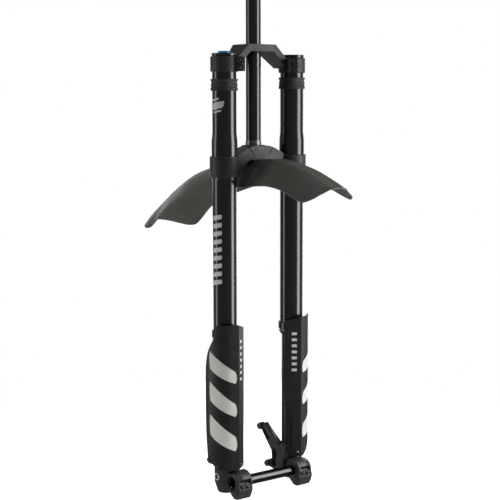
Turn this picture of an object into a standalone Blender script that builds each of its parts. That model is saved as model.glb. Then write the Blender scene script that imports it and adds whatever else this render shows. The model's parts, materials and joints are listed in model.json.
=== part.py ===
"""Inverted dual-crown suspension fork with a through axle, stanchion guards and a mudguard.

Two outer tubes are clamped in an upper and a lower crown on one steerer tube. Two stanchions slide
in them on bushings and carry the dropouts, the axle and the guards. The right leg holds a damper
and the left leg an air spring.

Frame, in metres: origin on the steering axis at the crown-race seat, +Z up the steerer, +X to the
bicycle's left (the brake side), -Y forward.
"""

import math

import bmesh
import bpy
from mathutils import Matrix, Vector

# ---- Driving dimensions, in metres -------------------------------------------------------------

GAP = 0.0003  # between pieces that touch
SCREW_R = 0.0025  # the M5 screws of every clamp
SCREW_HEAD_R = 0.00425
SLOT_WIDTH = 0.0016  # of each clamp's slot
EAR_THICKNESS = 0.0190

STEERER_R = 0.0143
STEERER_WALL = 0.0023
STEERER_TOP = 0.300
RACE_SEAT_R = 0.0150
RACE_SEAT_HEIGHT = 0.0062
RACE_SEAT_DEPTH = 0.0020  # how far the seat is sunk in the lower crown

LEG_X = 0.07835  # half the spacing of the legs
LEG_Y = -0.0166  # the legs stand ahead of the steering axis
TUBE_R = 0.0223
TUBE_CLAMPED_R = 0.0240  # the tube is thicker where the lower crown holds it
TUBE_BORE_R = 0.0204
TUBE_TOP = 0.1640
TUBE_BOTTOM = -0.3500
STANCHION_R = 0.0185
STANCHION_BORE_R = 0.0168
STANCHION_TOP = -0.0850
STANCHION_BOTTOM = -0.6015

LOWER_CLAMP_R = 0.0273
LOWER_CLAMP_TOP = -0.0185
LOWER_CLAMP_BOTTOM = -0.0564
LOWER_BOSS_R = 0.0230
LOWER_BOSS_BOTTOM = -0.0275
UPPER_CLAMP_R = 0.0253
UPPER_CLAMP_TOP = 0.1630
UPPER_CLAMP_BOTTOM = 0.1349
UPPER_PLATE_TOP = 0.1867
UPPER_PLATE_BOTTOM = 0.1733
UPPER_PLATE_FRONT = -0.0290
UPPER_PLATE_BACK = 0.0225

CAP_R = 0.0230
CAP_TOP = 0.1687
CAP_PLUG_BOTTOM = 0.1420
KNOB_R = 0.0113
BUMPER_R = 0.0252
BUMPER_HEIGHT = 0.0215
BUMPER_TOP = {-1: 0.1221, 1: 0.1265}

COLLAR_R = 0.0253
COLLAR_TOP = -0.3425
COLLAR_BOTTOM = -0.3565
WIPER_BOTTOM = -0.3666

CARTRIDGE_BOTTOM = -0.2130
ROD_R = 0.0050
ROD_WALL = 0.0015
ROD_TOP = -0.1830
FOOT_RECESS_TOP = -0.6385

DROPOUT_R = 0.0215
DROPOUT_TOP = -0.5850
DROPOUT_BOTTOM = -0.6530
AXLE_Y = -0.0500
AXLE_Z = -0.6285
AXLE_R = 0.0100
HUB_FACE_X = 0.0550
BARREL_END_X = 0.0890
BARREL_R = 0.0220
JAW_ANGLE = math.radians(42)  # the clamping slot's slope below level, towards the front

POST_SPACING = 0.0742  # between the two brake posts
POST_TILT = math.radians(19)
POST_MIDDLE = Vector((0.0500, 0.0370, -0.5968))
POST_R = 0.0070

GUARD_TOP = -0.3290
GUARD_BOTTOM = -0.6035
GUARD_WALL = 0.0025
GUARD_SCREW_R = 0.0020
FENDER_WALL = 0.0024
FENDER_FLAT = 0.0140  # half-width of the level strip along the mudguard's spine

SIDES = {"right": -1, "left": 1}
TUBE_STEPS = 24
ROUND_STEPS = 20
SMALL_STEPS = 12
BOLT_STEPS = 8
CREASE = math.radians(35)

UP = Vector((0, 0, 1))


# ---- Scene, collections and materials ----------------------------------------------------------

for leftover in list(bpy.data.objects):
    bpy.data.objects.remove(leftover, do_unlink=True)

fork = bpy.data.collections.new("suspension_fork")
cutters = bpy.data.collections.new("cutters")
for folder in (fork, cutters):
    bpy.context.scene.collection.children.link(folder)
cutters.hide_render = True


def finish(name, colour, roughness, metallic):
    """A Principled material for one kind of surface."""
    material = bpy.data.materials.new(name)
    material.use_nodes = True
    shader = material.node_tree.nodes["Principled BSDF"]
    shader.inputs["Base Color"].default_value = (*colour, 1)
    shader.inputs["Roughness"].default_value = roughness
    shader.inputs["Metallic"].default_value = metallic
    return material


SATIN_BLACK = finish("satin_black_paint", (0.012, 0.012, 0.013), 0.32, 0.0)
CROWN_GREY = finish("anodised_crown", (0.035, 0.036, 0.040), 0.45, 0.7)
CASTING = finish("dropout_casting", (0.025, 0.024, 0.024), 0.50, 0.3)
STANCHION = finish("dark_hard_coat", (0.050, 0.038, 0.030), 0.25, 0.9)
PLASTIC = finish("black_plastic", (0.030, 0.027, 0.025), 0.60, 0.0)
RUBBER = finish("black_rubber", (0.020, 0.020, 0.020), 0.85, 0.0)
STEEL = finish("dark_bolt_steel", (0.080, 0.080, 0.085), 0.35, 1.0)
BRIGHT = finish("bright_steel", (0.550, 0.550, 0.560), 0.25, 1.0)
ALLOY = finish("plain_alloy", (0.450, 0.450, 0.460), 0.40, 1.0)
BUSH = finish("bushing_bronze", (0.250, 0.190, 0.120), 0.50, 0.8)
BLUE = finish("blue_anodised", (0.010, 0.240, 0.550), 0.30, 0.9)


# ---- Modelling helpers -------------------------------------------------------------------------


def add(name, mesh, material=None, matrix=None):
    """A new object: with a material it is a piece of the fork, without one it is a cutter."""
    obj = bpy.data.objects.new(name, mesh)
    (fork if material else cutters).objects.link(obj)
    if material:
        mesh.materials.append(material)
    else:
        obj.hide_render = True
        obj.display_type = "WIRE"
    if matrix:
        obj.matrix_world = matrix
    return obj


def aim(at, z_axis, x_axis=None):
    """A matrix at a point, with its +Z along z_axis and its +X as near x_axis as it can be."""
    z = Vector(z_axis).normalized()
    x = Vector(x_axis) if x_axis else z.orthogonal()
    x = (x - x.dot(z) * z).normalized()
    matrix = Matrix((x, z.cross(x), z)).transposed().to_4x4()
    matrix.translation = Vector(at)
    return matrix


def leg_axis(side, z=0.0):
    return Vector((side * LEG_X, LEG_Y, z))


def turned(name, profile, material=None, matrix=None, steps=ROUND_STEPS):
    """A turned shape. The (radius, height) profile runs down the outside, and a ring's runs back up
    the inside."""
    mesh = bpy.data.meshes.new(name)
    form = bmesh.new()
    points = [form.verts.new((radius, 0, height)) for radius, height in profile]
    for upper, lower in zip(points, points[1:]):
        form.edges.new((upper, lower))
    if profile[0][0] > 0:
        form.edges.new((points[-1], points[0]))
    form.to_mesh(mesh)
    form.free()
    obj = add(name, mesh, material, matrix)
    screw = obj.modifiers.new("Turn", "SCREW")
    screw.steps = screw.render_steps = steps
    screw.use_merge_vertices = True
    screw.merge_threshold = 0.00001
    return obj


def bar(name, radius, start, along, length, material=None, sides=SMALL_STEPS):
    """A cylinder from a start point along a direction."""
    mesh = bpy.data.meshes.new(name)
    form = bmesh.new()
    bmesh.ops.create_cone(
        form, cap_ends=True, segments=sides, radius1=radius, radius2=radius, depth=length
    )
    bmesh.ops.translate(form, verts=form.verts, vec=(0, 0, length / 2))
    form.to_mesh(mesh)
    form.free()
    return add(name, mesh, material, aim(start, along))


def block(name, size, centre, z_axis=(0, 0, 1), x_axis=(1, 0, 0), material=None):
    mesh = bpy.data.meshes.new(name)
    form = bmesh.new()
    bmesh.ops.create_cube(form, size=1)
    bmesh.ops.scale(form, verts=form.verts, vec=size)
    form.to_mesh(mesh)
    form.free()
    return add(name, mesh, material, aim(centre, z_axis, x_axis))


def extruded(name, outline, thickness, matrix, material=None):
    """A flat outline given thickness, half to each side of the plane it is drawn on."""
    curve = bpy.data.curves.new(name, "CURVE")
    curve.dimensions = "2D"
    curve.fill_mode = "BOTH"
    curve.extrude = thickness / 2
    spline = curve.splines.new("POLY")
    spline.points.add(len(outline) - 1)
    for point, (x, y) in zip(spline.points, outline):
        point.co = (x, y, 0, 1)
    spline.use_cyclic_u = True
    drawn = bpy.data.objects.new(name + "_outline", curve)
    bpy.context.scene.collection.objects.link(drawn)
    graph = bpy.context.evaluated_depsgraph_get()
    mesh = bpy.data.meshes.new_from_object(drawn.evaluated_get(graph))
    bpy.data.objects.remove(drawn)
    form = bmesh.new()
    form.from_mesh(mesh)
    bmesh.ops.remove_doubles(form, verts=form.verts, dist=0.000001)
    bmesh.ops.recalc_face_normals(form, faces=form.faces)
    form.to_mesh(mesh)
    form.free()
    return add(name, mesh, material, matrix)


def combine(target, other, operation):
    """A Boolean on the target. The exact solver leaves the crowns and dropouts, which take long
    chains of joins and cuts, with open edges, so they use the manifold one."""
    boolean = target.modifiers.new(other.name, "BOOLEAN")
    boolean.operation = operation
    boolean.object = other
    long_chain = target.name.endswith("_crown") or target.name.startswith("dropout")
    boolean.solver = "MANIFOLD" if long_chain else "EXACT"


def cut(target, *others):
    for other in others:
        combine(target, other, "DIFFERENCE")


def join(target, *others):
    for other in others:
        combine(target, other, "UNION")


def bake(obj):
    """Makes the modifiers' result the object's own mesh, smooth up to the crease angle."""
    graph = bpy.context.evaluated_depsgraph_get()
    mesh = bpy.data.meshes.new_from_object(obj.evaluated_get(graph))
    obj.modifiers.clear()
    obj.data = mesh
    mesh.shade_smooth()
    mesh.set_sharp_from_angle(angle=CREASE)


def smooth_between(points, at):
    """The value at a place on a smooth curve through (place, value) points in rising order."""
    last = len(points) - 1
    i = min(sum(place <= at for place, _ in points[1:-1]), last - 1)
    (x0, y0), (x1, y1) = points[i], points[i + 1]

    def slope(k):
        before, after = points[max(k - 1, 0)], points[min(k + 1, last)]
        return (after[1] - before[1]) / (after[0] - before[0])

    t = (at - x0) / (x1 - x0)
    rise = (x1 - x0) * ((t**3 - 2 * t**2 + t) * slope(i) + (t**3 - t**2) * slope(i + 1))
    return (2 * t**3 - 3 * t**2 + 1) * y0 + (3 * t**2 - 2 * t**3) * y1 + rise


def screw_piece(name, seat, along, length, radius=SCREW_R, head=SCREW_HEAD_R):
    """A socket-head screw: the underside of its head is at the seat, and its shank points along."""
    height = 2 * radius
    profile = [(0, height), (head, height), (head, 0), (radius, 0), (radius, -length), (0, -length)]
    place = aim(seat, -Vector(along))
    piece = turned(name, profile, STEEL, place, BOLT_STEPS)
    top = Vector(seat) - Vector(along).normalized() * height * 0.4
    cut(piece, bar(name + "_socket", radius * 0.95, top, -Vector(along), height, sides=6))
    return piece


# ---- Steerer and crowns ------------------------------------------------------------------------


def make_steerer():
    inner = STEERER_R - STEERER_WALL
    foot = LOWER_BOSS_BOTTOM + 0.001
    profile = [
        (STEERER_R, STEERER_TOP),
        (STEERER_R, RACE_SEAT_HEIGHT + 0.0007),
        (RACE_SEAT_R, RACE_SEAT_HEIGHT),
        (RACE_SEAT_R, GAP - RACE_SEAT_DEPTH),
        (STEERER_R, GAP - RACE_SEAT_DEPTH),
        (STEERER_R, foot),
        (inner, foot),
        (inner, STEERER_TOP),
    ]
    turned("steerer_tube", profile, SATIN_BLACK, steps=TUBE_STEPS)


def pinch(crown, name, side, radial, reach, heights, z_span):
    """A split ear on a leg clamp, with its two pinch screws crossing the slot.

    radial points from the leg's axis through the ear, and the screws' heads face outboard.
    """
    radial = Vector(radial).normalized()
    across = UP.cross(radial)
    if across.x * side < 0:
        across = -across
    low, high = z_span
    middle = (low + high) / 2
    start, end = reach
    centre = leg_axis(side, middle) + radial * (start + end) / 2
    ear_size = (end - start, EAR_THICKNESS, high - low)
    ear = block(name + "_ear", ear_size, centre + across * 0.0010, UP, radial)
    slot_centre = leg_axis(side, middle) + radial * (end - 0.006)
    slot = block(name + "_slot", (0.0220, SLOT_WIDTH, high - low + 0.004), slot_centre, UP, radial)
    join(crown, ear)
    cut(crown, slot)
    for place, z in heights.items():
        on_axis = leg_axis(side, z) + radial * (end - SCREW_R - 0.0035)
        seat = on_axis + across * 0.0055
        start = seat + across * 0.001
        hole = bar(f"{name}_{place}_hole", SCREW_R + GAP, start, -across, 0.0125, sides=BOLT_STEPS)
        sink = bar(f"{name}_{place}_sink", SCREW_HEAD_R + GAP, seat - across * GAP, across, 0.010)
        mouth_size = (0.0120, 0.0100, 2 * (SCREW_HEAD_R + GAP))
        mouth_centre = seat + across * (0.0050 - GAP) + radial * 0.0060
        mouth = block(f"{name}_{place}_mouth", mouth_size, mouth_centre, UP, radial)
        cut(crown, hole, sink, mouth)
        screw_piece(f"{name}_{place}", seat, -across, 0.0108)


def make_lower_crown():
    boss = turned(
        "lower_crown",
        [
            (LOWER_BOSS_R - 0.0015, 0),
            (LOWER_BOSS_R, -0.0015),
            (LOWER_BOSS_R, LOWER_BOSS_BOTTOM),
            (STEERER_R + GAP, LOWER_BOSS_BOTTOM),
            (STEERER_R + GAP, 0),
        ],
        CROWN_GREY,
    )
    half = [
        (0.018, -0.0008),
        (0.031, -0.0045),
        (0.045, -0.0115),
        (0.058, LOWER_CLAMP_TOP - 0.0008),
        (0.058, LOWER_CLAMP_BOTTOM + 0.0020),
        (0.050, -0.0505),
        (0.040, -0.0410),
        (0.027, LOWER_BOSS_BOTTOM),
    ]
    outline = half + [(-x, z) for x, z in reversed(half)]
    arms = extruded("crown_arms", outline, 0.0350, aim((0, -0.0080, 0), (0, -1, 0), (1, 0, 0)))
    join(boss, arms)
    for side in SIDES.values():
        clamp = turned(
            f"lower_clamp_{side}",
            [
                (0, LOWER_CLAMP_TOP),
                (LOWER_CLAMP_R - 0.0008, LOWER_CLAMP_TOP),
                (LOWER_CLAMP_R, LOWER_CLAMP_TOP - 0.0008),
                (LOWER_CLAMP_R, LOWER_CLAMP_BOTTOM + 0.0008),
                (LOWER_CLAMP_R - 0.0008, LOWER_CLAMP_BOTTOM),
                (0, LOWER_CLAMP_BOTTOM),
            ],
            None,
            Matrix.Translation(leg_axis(side)),
            TUBE_STEPS,
        )
        join(boss, clamp)
    for label, side in SIDES.items():
        pinch(
            boss,
            f"lower_pinch_bolt_{label}",
            side,
            (-side * 0.60, 0.80, 0),
            (0.0250, 0.0375),
            {"top": -0.0285, "bottom": -0.0460},
            (LOWER_CLAMP_BOTTOM + 0.001, LOWER_CLAMP_TOP - 0.001),
        )
        bore = bar(
            f"lower_clamp_bore_{label}",
            TUBE_CLAMPED_R + GAP,
            leg_axis(side, -0.08),
            UP,
            0.10,
            sides=TUBE_STEPS,
        )
        cut(boss, bore)
    bore = bar("crown_steerer_bore", STEERER_R + GAP, (0, 0, -0.06), UP, 0.08, sides=TUBE_STEPS)
    seat_start = (0, 0, -RACE_SEAT_DEPTH)
    sink = bar("race_seat_sink", RACE_SEAT_R + GAP, seat_start, UP, 0.02, sides=TUBE_STEPS)
    cut(boss, bore, sink)
    for place, (x, y) in fender_screw_places().items():
        start = (x, y, -0.040)
        cut(boss, bar(f"crown_thread_{place}", SCREW_R + GAP, start, UP, 0.024, sides=BOLT_STEPS))


def make_upper_crown():
    drop = UPPER_PLATE_TOP - UPPER_CLAMP_TOP + 0.002
    half = [
        (0.031, UPPER_PLATE_TOP),
        (0.031 + drop, UPPER_PLATE_TOP - drop),
        (0.031 + drop, UPPER_PLATE_TOP - drop - 0.0185),
        (0.0265, UPPER_PLATE_BOTTOM),
    ]
    outline = half + [(-x, z) for x, z in reversed(half)]
    crown = extruded(
        "upper_crown", outline, 0.080, aim((0, 0, 0), (0, -1, 0), (1, 0, 0)), CROWN_GREY
    )
    plan = [
        (0.075, UPPER_PLATE_FRONT),
        (0.075, 0.002),
        (0.031, UPPER_PLATE_BACK),
        (-0.031, UPPER_PLATE_BACK),
        (-0.075, 0.002),
        (-0.075, UPPER_PLATE_FRONT),
    ]
    combine(crown, extruded("plate_plan", plan, 0.6, Matrix()), "INTERSECT")
    for side in SIDES.values():
        clamp = turned(
            f"upper_clamp_{side}",
            [
                (0, UPPER_CLAMP_TOP),
                (UPPER_CLAMP_R - 0.0010, UPPER_CLAMP_TOP),
                (UPPER_CLAMP_R, UPPER_CLAMP_TOP - 0.0010),
                (UPPER_CLAMP_R, UPPER_CLAMP_BOTTOM + 0.0010),
                (UPPER_CLAMP_R - 0.0010, UPPER_CLAMP_BOTTOM),
                (0, UPPER_CLAMP_BOTTOM),
            ],
            None,
            Matrix.Translation(leg_axis(side)),
            TUBE_STEPS,
        )
        join(crown, clamp)
    for label, side in SIDES.items():
        pinch(
            crown,
            f"upper_pinch_bolt_{label}",
            side,
            (-side * 0.59, -0.81, 0),
            (0.0235, 0.0380),
            {"top": 0.1558, "bottom": 0.1421},
            (UPPER_CLAMP_BOTTOM + 0.001, UPPER_CLAMP_TOP - 0.001),
        )
        bore = bar(
            f"upper_clamp_bore_{label}",
            TUBE_R + GAP,
            leg_axis(side, 0.10),
            UP,
            0.12,
            sides=TUBE_STEPS,
        )
        cut(crown, bore)
    bore = bar("plate_steerer_bore", STEERER_R + GAP, (0, 0, 0.16), UP, 0.04, sides=ROUND_STEPS)
    slot = block("plate_slot", (SLOT_WIDTH, 0.0160, 0.040), (0, 0.0200, UPPER_PLATE_TOP - 0.006))
    cut(crown, bore, slot)
    seat = Vector((0.0130, 0.0186, (UPPER_PLATE_TOP + UPPER_PLATE_BOTTOM) / 2))
    inboard = Vector((-1, 0, 0))
    start = seat - inboard * 0.001
    hole = bar("plate_screw_hole", SCREW_R + GAP, start, inboard, 0.0270, sides=BOLT_STEPS)
    sink = bar("plate_screw_sink", SCREW_HEAD_R + GAP, seat + inboard * GAP, -inboard, 0.040)
    cut(crown, hole, sink)
    screw_piece("steerer_pinch_bolt", seat, inboard, 0.0245)


# ---- Sprung half of the legs -------------------------------------------------------------------


def make_outer_tube(label, side):
    profile = [
        (TUBE_R - 0.0006, TUBE_TOP),
        (TUBE_R, TUBE_TOP - 0.0006),
        (TUBE_R, 0.0235),
        (TUBE_CLAMPED_R, 0.0090),
        (TUBE_CLAMPED_R, LOWER_CLAMP_BOTTOM - 0.0006),
        (TUBE_R, LOWER_CLAMP_BOTTOM - 0.0040),
        (TUBE_R - 0.0001, TUBE_BOTTOM),
        (TUBE_BORE_R, TUBE_BOTTOM),
        (TUBE_BORE_R, TUBE_TOP),
    ]
    turned(
        f"outer_tube_{label}", profile, SATIN_BLACK, Matrix.Translation(leg_axis(side)), TUBE_STEPS
    )


def make_bumper(label, side):
    """A rubber sleeve with a flange at each end, a waist and a raised middle band."""
    top = BUMPER_TOP[side]
    bottom = top - BUMPER_HEIGHT
    inner = TUBE_R + GAP
    profile = [
        (BUMPER_R - 0.0004, top),
        (BUMPER_R, top - 0.0030),
        (BUMPER_R - 0.0016, top - 0.0045),
        (BUMPER_R - 0.0016, top - 0.0080),
        (BUMPER_R - 0.0004, top - 0.0090),
        (BUMPER_R - 0.0004, bottom + 0.0070),
        (BUMPER_R - 0.0014, bottom + 0.0060),
        (BUMPER_R, bottom + 0.0045),
        (BUMPER_R - 0.0002, bottom),
        (inner, bottom),
        (inner, top),
    ]
    place = Matrix.Translation(leg_axis(side))
    turned(f"frame_bumper_{label}", profile, RUBBER, place, TUBE_STEPS)


def make_seals(label, side):
    """The seal head screwed over the tube's lower end, and the wiper under it."""
    over_tube = TUBE_R + GAP
    round_stanchion = STANCHION_R + GAP
    head = [
        (COLLAR_R - 0.0010, COLLAR_TOP),
        (COLLAR_R, COLLAR_TOP - 0.0010),
        (COLLAR_R, COLLAR_BOTTOM + 0.0012),
        (COLLAR_R - 0.0012, COLLAR_BOTTOM),
        (round_stanchion, COLLAR_BOTTOM),
        (round_stanchion, TUBE_BOTTOM - GAP),
        (over_tube, TUBE_BOTTOM - GAP),
        (over_tube, COLLAR_TOP),
    ]
    place = Matrix.Translation(leg_axis(side))
    turned(f"seal_head_{label}", head, SATIN_BLACK, place, TUBE_STEPS)
    top = COLLAR_BOTTOM - GAP
    wiper = [
        (0.0222, top),
        (0.0222, top - 0.0022),
        (0.0236, top - 0.0030),
        (0.0236, top - 0.0050),
        (0.0205, WIPER_BOTTOM),
        (round_stanchion, WIPER_BOTTOM),
        (round_stanchion, top),
    ]
    turned(f"wiper_seal_{label}", wiper, RUBBER, place)


def make_bushings(label, side):
    outer, inner = TUBE_BORE_R - GAP, STANCHION_R + GAP
    for name, top in (("upper", -0.1100), ("lower", -0.3220)):
        bottom = top - 0.0200
        ring = [(outer, top), (outer, bottom), (inner, bottom), (inner, top)]
        turned(f"{name}_bushing_{label}", ring, BUSH, Matrix.Translation(leg_axis(side)))


def cap_profile(bore, recess):
    """A top cap that plugs the tube. The recess is a (radius, depth) pair in its upper face."""
    radius, depth = recess
    return [
        (CAP_R - 0.0008, CAP_TOP),
        (CAP_R, CAP_TOP - 0.0008),
        (CAP_R, TUBE_TOP + GAP),
        (TUBE_BORE_R - GAP, TUBE_TOP + GAP),
        (TUBE_BORE_R - GAP, CAP_PLUG_BOTTOM),
        (bore, CAP_PLUG_BOTTOM),
        (bore, CAP_TOP - depth),
        (radius, CAP_TOP - depth),
        (radius, CAP_TOP),
    ]


def make_caps():
    right, left = (Matrix.Translation(leg_axis(side)) for side in SIDES.values())
    turned("damper_top_cap", cap_profile(0.0040, (0.0150, 0.0008)), SATIN_BLACK, right)
    turned("air_top_cap", cap_profile(0.0030, (0.0095, 0.0060)), SATIN_BLACK, left)
    top = CAP_TOP + 0.0002
    seat = CAP_TOP - 0.0060 + GAP
    stem = [
        (0, top),
        (0.0036, top),
        (0.0042, top - 0.0006),
        (0.0042, seat),
        (0, seat),
    ]
    turned("air_valve_cap", stem, STEEL, left, SMALL_STEPS)


def make_compression_knob():
    """A low knurled knob that turns on the compression valve's stem."""
    low, high = CAP_TOP - 0.0008 + GAP, 0.1726
    profile = [
        (0, high),
        (KNOB_R - 0.0014, high),
        (KNOB_R, high - 0.0012),
        (KNOB_R, low),
        (0.0033, low),
        (0.0033, low + 0.0024),
        (0, low + 0.0024),
    ]
    place = leg_axis(SIDES["right"])
    knob = turned("compression_knob", profile, BLUE, Matrix.Translation(place))
    flutes = 10
    for i in range(flutes):
        angle = 2 * math.pi * i / flutes
        at = place + Vector((math.cos(angle), math.sin(angle), 0)) * (KNOB_R + 0.0006)
        cut(knob, bar(f"knob_flute_{i}", 0.0013, at + UP * (low - 0.001), UP, 0.008, sides=6))


def make_damper():
    """The damper cartridge hangs from the right cap, and its rod stands on the dropout."""
    place = Matrix.Translation(leg_axis(SIDES["right"]))
    outer, inner = 0.0125, 0.0113
    make_cartridge("damper", place, outer, inner, ROD_R)
    top = CAP_PLUG_BOTTOM - GAP
    valve = [
        (0, CAP_TOP + 0.0012),
        (0.0030, CAP_TOP + 0.0012),
        (0.0030, top),
        (inner - GAP, top),
        (inner - GAP, top - 0.0120),
        (inner - 0.0030, top - 0.0140),
        (inner - 0.0030, top - 0.0300),
        (0, top - 0.0300),
    ]
    turned("compression_valve", valve, ALLOY, place, SMALL_STEPS)


def make_air_spring():
    place = Matrix.Translation(leg_axis(SIDES["left"]))
    make_cartridge("air", place, 0.0152, 0.0140, ROD_R + 0.0010)


def make_cartridge(kind, place, outer, inner, rod_radius):
    """A cartridge tube with its sealing head below, and the rod and piston that slide in it."""
    top = CAP_PLUG_BOTTOM - GAP
    tube = [(outer, top), (outer, CARTRIDGE_BOTTOM), (inner, CARTRIDGE_BOTTOM), (inner, top)]
    turned(f"{kind}_cartridge", tube, ALLOY, place)
    under = CARTRIDGE_BOTTOM - GAP
    bore = rod_radius + GAP
    head = [
        (inner - GAP, under + 0.0080),
        (inner - GAP, under),
        (outer, under),
        (outer - 0.0010, under - 0.0100),
        (bore, under - 0.0100),
        (bore, under + 0.0080),
    ]
    turned(f"{kind}_sealing_head", head, ALLOY, place, SMALL_STEPS)
    neck = ROD_TOP - 0.0115
    rod = [
        (0, ROD_TOP),
        (0.0030, ROD_TOP),
        (0.0030, neck),
        (rod_radius, neck),
        (rod_radius, FOOT_RECESS_TOP - 0.0060),
        (rod_radius - ROD_WALL, FOOT_RECESS_TOP - 0.0060),
        (rod_radius - ROD_WALL, neck - 0.0040),
        (0, neck - 0.0040),
    ]
    turned(f"{kind}_rod", rod, BRIGHT, place, SMALL_STEPS)
    low, high = neck + GAP, ROD_TOP - GAP
    piston = [
        (inner - GAP, high),
        (inner - GAP, high - 0.0035),
        (inner - 0.0015, high - 0.0045),
        (inner - GAP, high - 0.0055),
        (inner - GAP, low),
        (0.0030 + GAP, low),
        (0.0030 + GAP, high),
    ]
    turned(f"{kind}_piston", piston, ALLOY, place, SMALL_STEPS)


# ---- Unsprung half -----------------------------------------------------------------------------


def make_stanchion(label, side):
    profile = [
        (STANCHION_R - 0.0008, STANCHION_TOP),
        (STANCHION_R, STANCHION_TOP - 0.0008),
        (STANCHION_R, STANCHION_BOTTOM),
        (STANCHION_BORE_R, STANCHION_BOTTOM),
        (STANCHION_BORE_R, STANCHION_TOP),
    ]
    turned(
        f"stanchion_{label}", profile, STANCHION, Matrix.Translation(leg_axis(side)), TUBE_STEPS
    )


def guard_screw_places(side):
    """Each guard screw's point on the guard's outer face, and the direction into the leg."""
    places = {}
    for name, (place, z) in {"front": (0.78, -0.5955), "side": (5.0, -0.5870)}.items():
        outboard, forward = guard_point(place)
        run = guard_point(place + 0.05) - guard_point(place - 0.05)
        at = leg_axis(side, z) + Vector((side * outboard, -forward, 0))
        places[name] = (at, Vector((side * run.y, run.x, 0)).normalized())
    return places


def make_dropout(label, side):
    """The leg's foot: a socket for the stanchion, and a split barrel that clamps the axle."""
    name = f"dropout_{label}"
    place = Matrix.Translation(leg_axis(side))
    foot = turned(
        name,
        [
            (0, DROPOUT_TOP),
            (DROPOUT_R - 0.0010, DROPOUT_TOP),
            (DROPOUT_R, DROPOUT_TOP - 0.0020),
            (DROPOUT_R, -0.6330),
            (0.0150, DROPOUT_BOTTOM),
            (0, DROPOUT_BOTTOM),
        ],
        CASTING,
        place,
    )
    outward = Vector((side, 0, 0))
    inner_end = Vector((side * HUB_FACE_X, AXLE_Y, AXLE_Z))
    length = BARREL_END_X - HUB_FACE_X
    barrel = turned(
        name + "_barrel",
        [
            (0, length),
            (0.0172, length),
            (0.0186, length - 0.0014),
            (0.0200, length - 0.0070),
            (BARREL_R, length - 0.0120),
            (BARREL_R, 0.0012),
            (BARREL_R - 0.0012, 0),
            (0, 0),
        ],
        None,
        aim(inner_end, outward),
    )
    jaw_outline = [
        (0.0215, -0.0020),
        (0.0235, -0.0100),
        (0.0195, -0.0205),
        (0.0140, -0.0290),
        (0.0040, -0.0290),
        (-0.0090, -0.0200),
        (-0.0090, -0.0050),
    ]
    middle = inner_end + outward * (length / 2 - 0.0005)
    jaw = extruded(name + "_jaw", jaw_outline, length - 0.003, aim(middle, (-1, 0, 0), (0, -1, 0)))
    web = block(
        name + "_web", (0.0300, 0.0330, 0.0300), (side * 0.0725, -0.0330, -0.6260), UP, (1, 0, 0)
    )
    join(foot, barrel, web, jaw)
    for spot, (at, inward) in guard_screw_places(side).items():
        join(foot, bar(f"{name}_{spot}_post", 0.0042, at + inward * 0.0032, inward, 0.0200))
    if side == SIDES["left"]:
        add_brake_mount(foot)

    socket = bar(
        name + "_socket",
        STANCHION_R + GAP,
        leg_axis(side, STANCHION_BOTTOM - GAP),
        UP,
        0.05,
        sides=TUBE_STEPS,
    )
    rod_radius = ROD_R + (0.0010 if side == SIDES["left"] else 0)
    rod_hole = bar(name + "_rod_hole", rod_radius + GAP, leg_axis(side, -0.66), UP, 0.08)
    recess = bar(name + "_recess", 0.0098, leg_axis(side, -0.66), UP, 0.66 + FOOT_RECESS_TOP)
    bore_start = Vector((side * 0.04, AXLE_Y, AXLE_Z))
    bore = bar(name + "_bore", AXLE_R + GAP, bore_start, outward, 0.08, sides=ROUND_STEPS)
    cut(foot, socket, rod_hole, recess, bore)
    if side == SIDES["right"]:
        head_seat = Vector((side * (BARREL_END_X - 0.0060), AXLE_Y, AXLE_Z))
        cut(foot, bar(name + "_head_sink", 0.0143, head_seat, outward, 0.02, sides=ROUND_STEPS))
    add_axle_clamp(foot, name, side, middle, length)
    for spot, (at, inward) in guard_screw_places(side).items():
        radius = GUARD_SCREW_R + GAP
        cut(foot, bar(f"{name}_{spot}_thread", radius, at, inward, 0.0118, sides=BOLT_STEPS))
        seat = at - inward * GAP
        screw_piece(f"guard_screw_{label}_{spot}", seat, inward, 0.0095, GUARD_SCREW_R, 0.0038)


def add_axle_clamp(foot, name, side, middle, length):
    """The slot from the axle's bore through the jaw, and the two screws that close it."""
    along = Vector((0, -math.cos(JAW_ANGLE), -math.sin(JAW_ANGLE)))
    heads = Vector((0, -math.sin(JAW_ANGLE), math.cos(JAW_ANGLE)))
    slot_size = (0.0300, SLOT_WIDTH, length + 0.02)
    slot = block(name + "_clamp_slot", slot_size, middle + along * 0.0190, (1, 0, 0), along)
    screws = middle + along * 0.0165
    pocket_size = (0.0160, 0.0120, 0.0260)
    pocket_centre = screws + heads * 0.0150 - along * 0.0010
    pocket = block(name + "_pocket", pocket_size, pocket_centre, (1, 0, 0), along)
    cut(foot, slot, pocket)
    for place, offset in (("inner", -0.0056), ("outer", 0.0056)):
        seat = screws + Vector((side * offset, 0, 0)) + heads * (0.0090 + GAP)
        screw = name.replace("dropout", "axle_pinch_bolt") + "_" + place
        cut(foot, bar(screw + "_hole", SCREW_R + GAP, seat, -heads, 0.0185, sides=BOLT_STEPS))
        screw_piece(screw, seat, -heads, 0.0165)


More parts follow.
